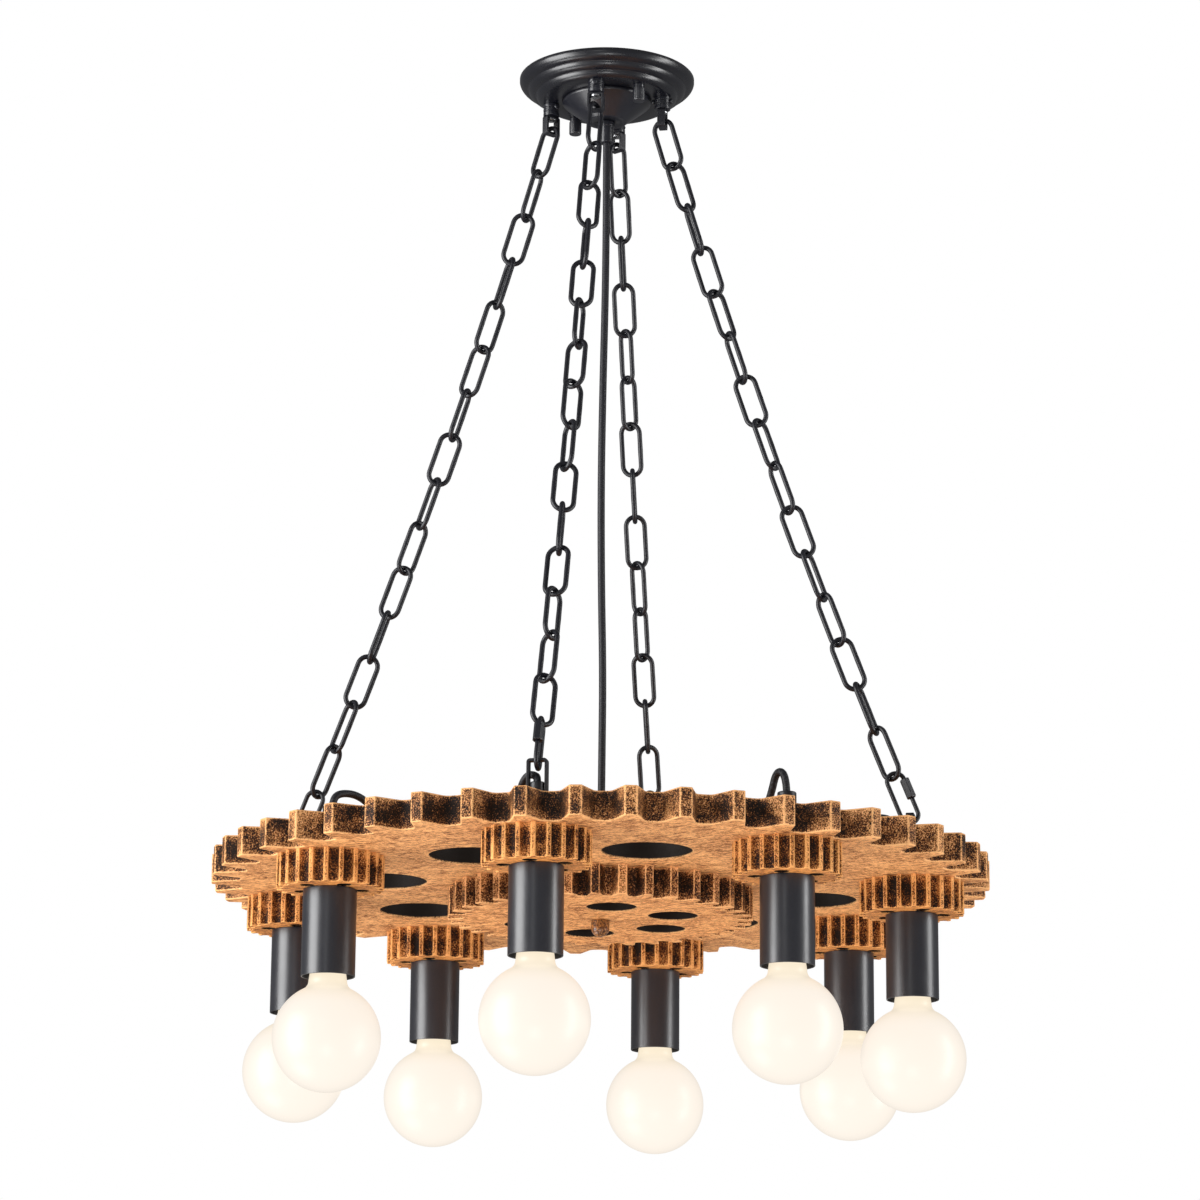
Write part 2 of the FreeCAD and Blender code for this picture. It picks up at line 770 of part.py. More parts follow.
def wire_link(label, length, width, wire):
    """A closed oval link, long axis on Z and width on X."""
    link = body(label)
    spine = sketch(link, label + "_spine", "XZ_Plane")
    leg = f"({length} - ({width})) / 2"
    half = f"({width}) / 2"
    outline(spine, [(half, "0"), (half, leg), ("0", f"{leg} + {half}", half, "left"),
                    (f"-{half}", leg, half, "left"), (f"-{half}", f"-{leg}"),
                    ("0", f"-{leg} - {half}", half, "left"), (half, f"-{leg}", half, "left")])
    round_wire = sketch(link, label + "_wire", "XY_Plane")
    circle(round_wire, half, "0", f"{wire} / 2")
    sweep = link.newObject("PartDesign::AdditivePipe", label + "_pipe")
    sweep.Profile = round_wire
    sweep.Spine = (spine, [])
    doc.recompute()
    return link


def quick_link():
    """An oval link open on one leg, where the sleeve nut closes it."""
    length = "quick_inner_length + quick_wire"
    width = "quick_inner_width + quick_wire"
    leg = f"({length} - ({width})) / 2"
    half = f"({width}) / 2"
    link = body("quick_link")
    spine = sketch(link, "quick_spine", "XZ_Plane")
    gap_top = f"({length}) / 2 - quick_gap_start"
    outline(spine, [(half, gap_top), (half, leg), ("0", f"{leg} + {half}", half, "left"),
                    (f"-({half})", leg, half, "left"), (f"-({half})", f"-{leg}"),
                    ("0", f"-{leg} - {half}", half, "left"), (half, f"-{leg}", half, "left"),
                    (half, f"{gap_top} - quick_gap")], closed=False)
    round_wire = sketch(link, "quick_round", "XY_Plane", val(gap_top))
    round_wire.setExpression("AttachmentOffset.Base.z", named(gap_top))
    circle(round_wire, half, "0", "quick_wire / 2")
    sweep = link.newObject("PartDesign::AdditivePipe", "quick_pipe")
    sweep.Profile = round_wire
    sweep.Spine = (spine, [])
    doc.recompute()
    return link


def sleeve_nut():
    """Hexagon nut on the quick link's open leg."""
    nut = body("sleeve_nut")
    drawing = sketch(nut, "sleeve_hexagon", "XY_Plane")
    hexagon(drawing, "sleeve_nut_width")
    circle(drawing, "0", "0", "quick_wire / 2 + moving_clearance")
    pad(nut, drawing, "sleeve_nut_length")
    return nut


def link_place(start, end, roll, outward):
    """A link between two points of the chain, turned from tangential towards radial."""
    along = (start - end).normalize()
    tangential = Vector(-outward.y, outward.x, 0)
    radial = tangential.cross(along)
    turn = math.radians(roll)
    across = tangential * math.cos(turn) + radial * math.sin(turn)
    side = along.cross(across)
    return Placement((start + end) / 2, Rotation(across, side, along, "ZXY"))


def chain_points(angle):
    """Points where the links of one chain meet, on a shallow sag towards the middle."""
    outward = polar(1, angle)
    bar = outward * hanger_radius + Vector(0, 0, hanger_bar_top)
    foot_bar = outward * lamp_radius + Vector(0, 0, gear_bar_foot)
    along = (foot_bar - bar).normalize()
    inward = Vector(-outward.y, outward.x, 0).cross(along)
    if inward.dot(outward) > 0:
        inward = -inward
    start = bar - along * top_seat
    count = int(val("link_count"))
    shares = [n * link_pitch / chain_run for n in range(count + 1)] + [1.0]
    return outward, [
        start + along * (chain_chord * s) + inward * (4 * val("chain_sag") * s * (1 - s))
        for s in shares]


def chains():
    link = wire_link("chain_link", "link_inner_length + link_wire", "link_inner_width + link_wire",
                     "link_wire")
    quick = quick_link()
    sleeve = sleeve_nut()
    leg_side = val("(quick_inner_width + quick_wire) / 2")
    sleeve_foot = val("(quick_inner_length + quick_wire) / 2 - sleeve_nut_start - sleeve_nut_length")
    for name, chain in CHAINS.items():
        outward, points = chain_points(chain["angle"])
        copies(f"chain_{name}", link, [
            link_place(points[i], points[i + 1], chain["first"] + i * chain["step"], outward)
            for i in range(len(points) - 2)])
        place = link_place(points[-2], points[-1], chain["quick"], outward)
        place = place * Placement(Vector(), Rotation(Vector(1, 0, 0), chain["tip"]))
        copy(f"quick_link_{name}", quick, place)
        copy(f"sleeve_nut_{name}", sleeve,
             place * Placement(Vector(leg_side, 0, sleeve_foot), Rotation()))


# Gears: toothed boards


def toothed_board(label, prefix):
    """A round board with tooth gaps cut round it, its upper face on z = 0."""
    board = body(label)
    disc = sketch(board, label + "_disc", "XY_Plane")
    circle(disc, "0", "0", f"{prefix}_diameter / 2")
    slab = pad(board, disc, f"{prefix}_thickness")
    slab.Reversed = True
    doc.recompute()
    gap = sketch(board, label + "_gap", "XY_Plane")
    half_step = Rotation(Vector(0, 0, 1), 180 / val(f"{prefix}_teeth"))
    gap.AttachmentOffset = Placement(Vector(), half_step)
    tip = f"{prefix}_diameter / 2"
    pitch = f"(pi * {prefix}_diameter / {prefix}_teeth)"
    mouth = f"({pitch} - {prefix}_tip_land) / 2"
    root = f"{tip} - {prefix}_tooth_depth"
    floor = f"{prefix}_root_width / 2"
    past = f"{prefix}_tooth_depth"
    flare = f"({mouth} + ({mouth} - {floor}))"
    corner_rise = f"{prefix}_root_radius / 2"
    corner_side = f"({mouth} - {floor}) / {prefix}_tooth_depth * {corner_rise}"
    outline(gap, [
        (f"-({floor} + {corner_side})", f"{root} + {corner_rise}"),
        (f"-({floor} - {prefix}_root_radius / 2)", root, f"{prefix}_root_radius", "left"),
        (f"{floor} - {prefix}_root_radius / 2", root),
        (f"{floor} + {corner_side}", f"{root} + {corner_rise}", f"{prefix}_root_radius", "left"),
        (flare, f"{tip} + {past}"),
        (f"-{flare}", f"{tip} + {past}"),
    ])
    polar_pattern(board, pocket(board, gap, upwards=False), f"{prefix}_teeth")
    return board


def ring_of_holes(board, name, radius, circle_diameter, count, angle):
    """Round holes through a board, on a circle."""
    hole = sketch(board, name, "XY_Plane")
    turn = math.radians(angle)
    circle(hole, f"{math.cos(turn):.6f} * {circle_diameter} / 2" if abs(math.cos(turn)) > 1e-9 else "0",
           f"{math.sin(turn):.6f} * {circle_diameter} / 2" if abs(math.sin(turn)) > 1e-9 else "0",
           radius)
    polar_pattern(board, pocket(board, hole, upwards=False), count)


def middle_hole(board, name, radius):
    hole = sketch(board, name, "XY_Plane")
    circle(hole, "0", "0", radius)
    pocket(board, hole, upwards=False)


def main_gear():
    board = toothed_board("main_gear", "gear")
    ring_of_holes(board, "gear_window", "gear_hole_diameter / 2", "gear_hole_circle",
                  "lamp_count", lamp_angles[1] / 2)
    ring_of_holes(board, "gear_rod_hole", "rod_diameter / 2 + rod_clearance", "lamp_circle",
                  "lamp_count", 0)
    middle_hole(board, "gear_bolt_hole", "bolt_diameter / 2 + rod_clearance")
    pilot = sketch(board, "cup_screw_hole", "XY_Plane")
    half_step = math.radians(lamp_angles[1] / 2)
    reach = "(cup_diameter / 2 + cup_flange / 2)"
    circle(pilot, f"{math.cos(half_step):.6f} * {reach}", f"{math.sin(half_step):.6f} * {reach}",
           "cup_screw_diameter / 2 + thread_clearance")
    cut = pocket(board, pilot, "cup_screw_depth", upwards=False)
    polar_pattern(board, cut, "cup_screw_count")
    part("main_gear", board, Placement(Vector(0, 0, gear_top), Rotation()))


def inner_gear():
    board = toothed_board("inner_gear", "inner")
    ring_of_holes(board, "inner_window", "inner_hole_diameter / 2", "inner_hole_circle",
                  "inner_hole_count", 0)
    middle_hole(board, "inner_bolt_hole", "bolt_diameter / 2 + rod_clearance")
    turn = Rotation(Vector(0, 0, 1), val("inner_turn"))
    part("inner_gear", board, Placement(Vector(0, 0, gear_foot), turn))


def pinions():
    pinion = body("pinion")
    disc = sketch(pinion, "pinion_disc", "XY_Plane")
    circle(disc, "0", "0", "pinion_diameter / 2")
    slab = pad(pinion, disc, "pinion_thickness")
    slab.Reversed = True
    doc.recompute()
    flute = sketch(pinion, "pinion_flute", "XY_Plane")
    circle(flute, "pinion_diameter / 2 - pinion_flute_depth + pinion_flute_radius", "0",
           "pinion_flute_radius")
    polar_pattern(pinion, pocket(pinion, flute, upwards=False), "pinion_teeth")
    ring_of_holes(pinion, "pinion_window", "pinion_hole_diameter / 2", "pinion_hole_circle",
                  "pinion_hole_count", 0)
    middle_hole(pinion, "pinion_rod_hole", "rod_diameter / 2 + rod_clearance")
    copies("pinions", pinion, [
        turned(lamp_radius, a, gear_foot, t) for a, t in zip(lamp_angles, PINION_TURNS)])


def centre_bolt():
    """Hexagon bolt through both gears, with the finial on its lower end."""
    bolt = body("centre_bolt")
    head = sketch(bolt, "bolt_hexagon", "XY_Plane")
    hexagon(head, "bolt_head_width")
    pad(bolt, head, "bolt_head_height")
    shank = sketch(bolt, "bolt_shank", "XY_Plane")
    circle(shank, "0", "0", "bolt_diameter / 2")
    stem = pad(bolt, shank, "gear_thickness + inner_thickness + bolt_into_finial")
    stem.Reversed = True
    doc.recompute()
    part("centre_bolt", bolt, Placement(Vector(0, 0, gear_top), Rotation()))


def finial():
    """Turned knob with a flat top and a rounded foot."""
    edge = "finial_diameter / 2"
    bore = "bolt_diameter / 2 + thread_clearance"
    knob = turned_part("finial", [
        (bore, "0"),
        (edge, "0"),
        (edge, "-finial_height + finial_edge_radius"),
        (f"{edge} - finial_edge_radius", "-finial_height", "finial_edge_radius", "right"),
        ("0", "-finial_height"),
        ("0", "-bolt_into_finial - rod_clearance"),
        (bore, "-bolt_into_finial - rod_clearance"),
    ])
    part("finial", knob, Placement(Vector(0, 0, gear_foot - val("inner_thickness")), Rotation()))


# Lamps: threaded rod, collar, strap loop, shade, socket and bulb


def lamp_rods():
    """Hollow rods from the collars through gear, pinion and shade into the sockets."""
    top = "gear_thickness + rod_above_gear"
    foot = "-pinion_thickness - shade_wall - rod_into_socket"
    rod = turned_part("lamp_rod", [
        ("rod_bore / 2", top),
        ("rod_diameter / 2", top),
        ("rod_diameter / 2", foot),
        ("rod_bore / 2", foot),
    ])
    copies("lamp_rods", rod, [turned(lamp_radius, a, gear_foot) for a in lamp_angles])


def gear_loops():
    """Strap loops under the collars of every second lamp, on a round base."""
    loop = strap_loop("gear_loop", "gear_loop_width", "gear_loop_height", "gear_loop_strap",
                      "gear_loop_strap_width")
    base = sketch(loop, "gear_loop_disc", "XY_Plane")
    circle(base, "0", "0", "gear_loop_base / 2")
    pad(loop, base, "gear_loop_strap")
    hole = sketch(loop, "gear_loop_hole", "XY_Plane")
    circle(hole, "0", "0", "rod_diameter / 2 + rod_clearance")
    pocket(loop, hole, "gear_loop_strap", upwards=True)
    copies("gear_loops", loop, [turned(lamp_radius, a, gear_top) for a in loop_angles])


def lead_collar(label, diameter, height, seat):
    """Round nut on a rod's upper end with a hole for the lamp's lead."""
    edge = f"{diameter} / 2"
    bore = "rod_diameter / 2 + thread_clearance"
    lead = "lead_diameter / 2 + lead_clearance"
    return turned_part(label, [
        (bore, "0"),
        (edge, "0"),
        (edge, f"{height} - collar_edge_radius"),
        (f"{edge} - collar_edge_radius", height, "collar_edge_radius", "left"),
        (lead, height),
        (lead, seat),
        (bore, seat),
    ])


def lead_collars():
    """Collars on the plain lamps, and slimmer ones inside the strap loops."""
    plain = lead_collar("plain_collar", "collar_diameter", "collar_height", "rod_above_gear")
    slim = lead_collar("slim_collar", "loop_collar_diameter", "loop_collar_height",
                       "rod_above_gear - gear_loop_strap")
    copies("plain_collars", plain, [
        turned(lamp_radius, a, gear_top) for a in lamp_angles if a not in loop_angles])
    copies("slim_collars", slim, [
        turned(lamp_radius, a, gear_top + val("gear_loop_strap")) for a in loop_angles])
    together("lead_collars", "plain_collars", "slim_collars")


def lamp_shades():
    """Plain tubes closed at the top, round the sockets."""
    edge = "shade_diameter / 2"
    shade = turned_part("lamp_shade", [
        ("rod_diameter / 2 + rod_clearance", "0"),
        (edge, "0"),
        (edge, "-shade_length"),
        (f"{edge} - shade_wall", "-shade_length"),
        (f"{edge} - shade_wall", "-shade_wall"),
        ("rod_diameter / 2 + rod_clearance", "-shade_wall"),
    ])
    top = gear_foot - val("pinion_thickness")
    copies("lamp_shades", shade, [turned(lamp_radius, a, top) for a in lamp_angles])


def socket_heights():
    """Heights in a lamp below the shade's top: socket mouth, base top and socket floor."""
    mouth = "-shade_length + socket_mouth_recess"
    base_top = "-shade_length + base_recess + base_height + base_tip_height"
    floor = f"{base_top} + contact_gap + contact_height"
    return mouth, base_top, floor


def socket_bodies():
    """Insulating lampholders, screwed on the rods, open below."""
    mouth, _, floor = socket_heights()
    edge = "shade_diameter / 2 - shade_wall - socket_clearance"
    rod = "rod_diameter / 2 + thread_clearance"
    bore = "base_diameter / 2 + shell_bore_clearance + shell_wall + socket_bore_clearance"
    socket = turned_part("socket_body", [
        (rod, "-shade_wall"),
        (edge, "-shade_wall"),
        (edge, mouth),
        (bore, mouth),
        (bore, floor),
        ("0", floor),
        ("0", "-shade_wall - rod_into_socket"),
        (rod, "-shade_wall - rod_into_socket"),
    ])
    top = gear_foot - val("pinion_thickness")
    copies("socket_bodies", socket, [turned(lamp_radius, a, top) for a in lamp_angles])


def socket_contacts():
    """Screw shells and middle contacts."""
    mouth, _, floor = socket_heights()
    inner = "base_diameter / 2 + shell_bore_clearance"
    shell = turned_part("screw_shell", [
        (inner, f"{mouth} + shell_recess"),
        (f"{inner} + shell_wall", f"{mouth} + shell_recess"),
        (f"{inner} + shell_wall", floor),
        (inner, floor),
    ])
    button = turned_part("middle_contact", [
        ("0", floor),
        ("contact_diameter / 2", floor),
        ("contact_diameter / 2", f"{floor} - contact_height"),
        ("0", f"{floor} - contact_height"),
    ])
    top = gear_foot - val("pinion_thickness")
    places = [turned(lamp_radius, a, top) for a in lamp_angles]
    copies("screw_shells", shell, places)
    copies("middle_contacts", button, places)
    together("socket_contacts", "screw_shells", "middle_contacts")


def bulb_globe():
    """Thin globe that runs through a tangent blend into its neck. z = 0 is the shade's top."""
    middle = "pinion_thickness - globe_drop"

    def half_section(wall):
        globe = f"(globe_diameter / 2 - {wall})"
        neck = f"(neck_diameter / 2 - {wall})"
        blend = f"(neck_blend_radius + {wall})"
        rise = f"sqrt(({globe} + {blend})^2 - ({neck} + {blend})^2)"
        share = f"{globe} / ({globe} + {blend})"
        return [
            (f"base_diameter / 2 - {wall}", "-shade_length + base_recess"),
            (neck, f"{middle} + {rise}"),
            (f"{share} * ({neck} + {blend})", f"{middle} + {share} * {rise}", blend, "left"),
            ("0", f"{middle} - {globe}", globe, "right"),
        ]

    outer = half_section("0")
    inner = half_section("globe_wall")
    back = [inner[3][:2], (*inner[2][:2], inner[3][2], "left"), (*inner[1][:2], inner[2][2], "right"),
            inner[0]]
    return turned_part("bulb_globe", outer + back)


def bulb_base():
    """Screw base, closed at the top by its tip."""
    foot = "-shade_length + base_recess"
    rim = f"{foot} + base_height"
    shoulder = f"{rim} - base_shoulder"
    edge = "base_diameter / 2"
    return turned_part("bulb_base", [
        (f"{edge} - base_wall", foot),
        (edge, foot),
        (edge, shoulder),
        ("base_tip_diameter / 2 + 2", rim),
        ("base_tip_diameter / 2", rim),
        ("base_tip_diameter / 2", f"{rim} + base_tip_height"),
        ("0", f"{rim} + base_tip_height"),
        ("0", f"{rim} - base_wall"),
        ("base_tip_diameter / 2 + 2 - base_wall", f"{rim} - base_wall"),
        (f"{edge} - base_wall", f"{shoulder} - base_wall"),
    ])


def bulbs():
    globe = bulb_globe()
    base = bulb_base()
    top = gear_foot - val("pinion_thickness")
    for number, angle in enumerate(lamp_angles, start=1):
        copy(f"bulb_globe_{number}", globe, turned(lamp_radius, angle, top))
        copy(f"bulb_base_{number}", base, turned(lamp_radius, angle, top))


# Wiring cup on the gear, with its gland


def wiring_cup():
    edge = "cup_diameter / 2"
    hole = "cord_diameter / 2 + cord_clearance"
    inside = f"{edge} - sheet_wall"
    cup = turned_part("wiring_cup", [
        (inside, "0"),
        (f"{edge} + cup_flange", "0"),
        (f"{edge} + cup_flange", "sheet_wall"),
        (edge, "sheet_wall"),
        (edge, "cup_height - cup_edge_radius"),
        (f"{edge} - cup_edge_radius", "cup_height", "cup_edge_radius", "left"),
        (hole, "cup_height"),
        (hole, "cup_height - sheet_wall"),
        (f"{edge} - cup_edge_radius", "cup_height - sheet_wall"),
        (inside, "cup_height - cup_edge_radius", "cup_edge_radius - sheet_wall", "right"),
    ])
    lead = sketch(cup, "cup_lead_hole", "YZ_Plane")
    circle(lead, "0", "lead_height_at_cup", "lead_diameter / 2 + lead_clearance")
    cut = cup.newObject("PartDesign::Pocket", "cup_lead_cut")
    cut.Profile = lead
    cut.Reversed = True
    cut.Length = val(edge)
    cut.setExpression("Length", named(edge))
    doc.recompute()
    polar_pattern(cup, cut, "lamp_count")
    screw = sketch(cup, "cup_flange_hole", "XY_Plane")
    half_step = math.radians(lamp_angles[1] / 2)
    reach = "(cup_diameter / 2 + cup_flange / 2)"
    circle(screw, f"{math.cos(half_step):.6f} * {reach}", f"{math.sin(half_step):.6f} * {reach}",
           "cup_screw_diameter / 2 + rod_clearance")
    polar_pattern(cup, pocket(cup, screw, "sheet_wall", upwards=True), "cup_screw_count")
    part("wiring_cup", cup, Placement(Vector(0, 0, gear_top), Rotation()))


def cup_screws():
    radius = "cup_screw_diameter / 2"
    screw = turned_part("cup_screw", [
        ("0", "-cup_screw_depth + 0.5"),
        (radius, "-cup_screw_depth + 0.5"),
        (radius, "sheet_wall"),
        ("cup_screw_head / 2", "sheet_wall"),
        ("cup_screw_head / 2", "sheet_wall + cup_screw_head_height / 2"),
        ("0", "sheet_wall + cup_screw_head_height",
         dome("cup_screw_head", "cup_screw_head_height / 2"), "left"),
    ])
    count = int(val("cup_screw_count"))
    reach = val("cup_diameter / 2 + cup_flange / 2")
    copies("cup_screws", screw, [
        turned(reach, lamp_angles[1] / 2 + 360 / count * n, gear_top) for n in range(count)])


def cup_gland():
    """Grip on the cup where the main cord goes in."""
    edge = "cup_gland_diameter / 2"
    hole = "cord_diameter / 2 + cord_clearance"
    top = "cup_height + cup_gland_height"
    gland = turned_part("cup_gland", [
        (hole, "cup_height"),
        (edge, "cup_height"),
        (edge, f"{top} - collar_edge_radius"),
        (f"{edge} - collar_edge_radius", top, "collar_edge_radius", "left"),
        (hole, top),
    ])
    part("cup_gland", gland, Placement(Vector(0, 0, gear_top), Rotation()))


# Cords: straight runs joined by arcs as large as the runs allow


def cord_tube(points, diameter):
    """A round cord along a route, and the smallest radius of its middle line."""
    edges, radii = [], []
    start = points[0]
    for before, corner, after in zip(points, points[1:], points[2:]):
        way_in, way_out = (corner - before).normalize(), (after - corner).normalize()
        turn = way_in.getAngle(way_out)
        cut = CORD_BEND_SHARE * min((corner - before).Length, (after - corner).Length)
        radii.append(cut / math.tan(turn / 2))
        first, last = corner - way_in * cut, corner + way_out * cut
        inward = (way_out - way_in).normalize()
        middle = corner + inward * (radii[-1] * (1 / math.cos(turn / 2) - 1))
        edges += [Part.LineSegment(start, first).toShape(), Part.Arc(first, middle, last).toShape()]
        start = last
    edges.append(Part.LineSegment(start, points[-1]).toShape())
    path = Part.Wire(edges)
    ring = Part.Wire(Part.makeCircle(diameter / 2, points[0], points[1] - points[0]))
    tube = Part.BRepOffsetAPI.MakePipeShell(path)
    tube.add(ring)
    tube.build()
    tube.makeSolid()
    solid = tube.shape()
    expected = math.pi * diameter ** 2 / 4 * path.Length
    if abs(solid.Volume / expected - 1) > 0.005:
        raise RuntimeError(f"cord volume {solid.Volume:.0f}, expected {expected:.0f}")
    return solid, path.Length, min(radii)


def main_cord():
    points = [Vector(x, y, gear_top + z) for x, y, z in CORD_ROUTE]
    solid, length, bend = cord_tube(points, val("cord_diameter"))
    cord = doc.addObject("Part::Feature", "main_cord")
    cord.Shape = solid
    part("main_cord", cord)
    print(f"main cord: length {length:.1f} mm, tightest bend {bend:.0f} mm")


def lamp_leads():
    leads = []
    for angle, route in zip(lamp_angles, LAMP_LEADS):
        place = turned(lamp_radius, angle, gear_top)
        points = [place.multVec(Vector(-inward, side, up)) for inward, side, up in LEAD_ROUTES[route]]
        solid, length, bend = cord_tube(points, val("lead_diameter"))
        leads.append(solid)
        print(f"lead at {angle:.0f} degrees, {route}: length {length:.1f} mm, tightest bend {bend:.1f} mm")
    group = doc.addObject("Part::Feature", "lamp_leads")
    group.Shape = Part.makeCompound(leads)
    part("lamp_leads", group)


for build in (ceiling_bracket, canopy_screws, cap_nuts, canopy_shell, canopy_cone, centre_nipple,
              cord_grip, canopy_nuts, hanger_collars, collar_screws, hanger_screws, hanger_loops,
              chains, main_gear, inner_gear, pinions, centre_bolt, finial, lamp_rods, gear_loops,
              lead_collars, lamp_shades, socket_bodies, socket_contacts, bulbs, wiring_cup,
              cup_screws, cup_gland, main_cord, lamp_leads):
    build()
doc.recompute()

faults = [f"{o.Label}: {', '.join(o.State)}" for o in doc.Objects
          if "Invalid" in o.State or "Error" in o.State]
shapes = {}
for label, source in sub_parts.items():
    shape = Part.getShape(source)
    if shape.isNull() or not shape.isValid() or not shape.Solids:
        faults.append(f"{label}: no valid solid")
    shapes[label] = shape
if faults:
    raise RuntimeError("; ".join(faults))

os.makedirs("parts", exist_ok=True)
for label, shape in shapes.items():
    shape.exportStep(f"parts/{label}.step")
print(f"{len(shapes)} nodes, gear's lower face at {gear_foot:.2f} mm")
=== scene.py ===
import bmesh
import bpy
import math
import numpy as np
from mathutils import Matrix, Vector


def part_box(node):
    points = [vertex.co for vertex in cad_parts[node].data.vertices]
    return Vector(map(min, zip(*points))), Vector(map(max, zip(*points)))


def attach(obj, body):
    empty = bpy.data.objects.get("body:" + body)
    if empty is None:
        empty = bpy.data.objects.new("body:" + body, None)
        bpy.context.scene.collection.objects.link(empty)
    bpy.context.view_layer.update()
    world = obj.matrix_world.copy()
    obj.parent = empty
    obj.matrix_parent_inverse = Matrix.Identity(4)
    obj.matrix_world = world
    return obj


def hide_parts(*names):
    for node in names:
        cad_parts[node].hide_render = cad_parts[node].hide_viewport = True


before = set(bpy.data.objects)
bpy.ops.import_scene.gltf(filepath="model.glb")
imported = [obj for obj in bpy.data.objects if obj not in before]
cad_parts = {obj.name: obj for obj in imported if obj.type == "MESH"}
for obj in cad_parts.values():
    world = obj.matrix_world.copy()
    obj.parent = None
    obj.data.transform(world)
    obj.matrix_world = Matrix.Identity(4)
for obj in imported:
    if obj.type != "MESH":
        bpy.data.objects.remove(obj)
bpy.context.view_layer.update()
mm = 0.001
weldGap = 0.002 * mm
print("frame loaded:", len(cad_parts), "nodes")

# camera: solved from the photo, a long lens looking up at the gear from one side
cameraSet = {"distance": 3.07973, "height": -1.22614, "side": -34.013, "pitch": 14.363,
             "yaw": -0.042, "roll": 0.467, "lens": 120.996, "sensor": 36.0, "far": 60.0}


def turnZ(degrees):
    c, s = math.cos(math.radians(degrees)), math.sin(math.radians(degrees))
    return np.array([[c, -s, 0], [s, c, 0], [0, 0, 1]])


def placeCamera():
    pitch, yaw, roll = (math.radians(cameraSet[k]) for k in ("pitch", "yaw", "roll"))
    look = np.array([math.sin(yaw) * math.cos(pitch), math.cos(yaw) * math.cos(pitch), math.sin(pitch)])
    right = np.array([math.cos(yaw), -math.sin(yaw), 0])
    up = np.cross(right, look)
    right, up = right * math.cos(roll) + up * math.sin(roll), up * math.cos(roll) - right * math.sin(roll)
    spin = turnZ(cameraSet["side"])
    place = np.eye(4)
    place[:3, :3] = np.stack([spin @ right, spin @ up, -(spin @ look)], axis=1)
    place[:3, 3] = spin @ np.array([0, -cameraSet["distance"], 0]) + [0, 0, cameraSet["height"]]
    data = bpy.data.cameras.new("photoCamera")
    data.lens, data.sensor_width, data.clip_end = (cameraSet[k] for k in ("lens", "sensor", "far"))
    camera = bpy.data.objects.new("photoCamera", data)
    camera.matrix_world = Matrix(place.tolist())
    bpy.context.scene.collection.objects.link(camera)
    bpy.context.scene.camera = camera


placeCamera()
print("camera placed")


# heights that every piece shares, in mm
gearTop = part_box("main_gear")[1][2] / mm
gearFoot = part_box("main_gear")[0][2] / mm
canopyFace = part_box("cap_nut_1")[1][2] / mm
lampRadius, hangRadius = 241.5, 46.0
lampAngles = np.arange(8) * 45.0
chainAngles = {"back": 45, "left": 135, "front": 225, "right": 315}


def polar(radius, degrees):
    return np.array([radius * math.cos(math.radians(degrees)), radius * math.sin(math.radians(degrees))])


# meshes: grids of points joined into quads

def unit(vectors):
    return vectors / np.linalg.norm(vectors, axis=-1, keepdims=True)


def gridFaces(nu, nv, closeU, closeV, first):
    # quads between neighbouring rows and columns, wrapped where the grid is closed
    iu = np.arange(nu if closeU else nu - 1)[:, None]
    iv = np.arange(nv if closeV else nv - 1)[None, :]
    ju, jv = (iu + 1) % nu, (iv + 1) % nv
    quads = np.stack(np.broadcast_arrays(iu * nv + iv, ju * nv + iv, ju * nv + jv, iu * nv + jv), axis=-1)
    return quads.reshape(-1, 4) + first


def makePiece(name, grids, material, body, nodes, layers=()):
    # grids of (points in mm, closeU, closeV, {layer: values}) become one welded mesh, faces outwards
    points, faces, values, first = [], [], {layer: [] for layer in layers}, 0
    for grid, closeU, closeV, given in grids:
        nu, nv = grid.shape[:2]
        points.append(grid.reshape(-1, 3) * mm)
        faces.append(gridFaces(nu, nv, closeU, closeV, first))
        for layer in layers:
            values[layer].append(np.broadcast_to(given.get(layer, 0.0), (nu, nv)).ravel())
        first += nu * nv
    mesh = bpy.data.meshes.new(name)
    mesh.from_pydata(np.concatenate(points).tolist(), [], np.concatenate(faces).tolist())
    for layer in layers:
        data = mesh.attributes.new(layer, "FLOAT", "POINT").data
        data.foreach_set("value", np.concatenate(values[layer]).astype(np.float32))
    shape = bmesh.new()
    shape.from_mesh(mesh)
    bmesh.ops.remove_doubles(shape, verts=shape.verts, dist=weldGap)
    bmesh.ops.recalc_face_normals(shape, faces=shape.faces)
    shape.to_mesh(mesh)
    shape.free()
    mesh.polygons.foreach_set("use_smooth", np.ones(len(mesh.polygons), dtype=bool))
    mesh.materials.append(material)
    piece = bpy.data.objects.new(name, mesh)
    bpy.context.scene.collection.objects.link(piece)
    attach(piece, body)
    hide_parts(*nodes)


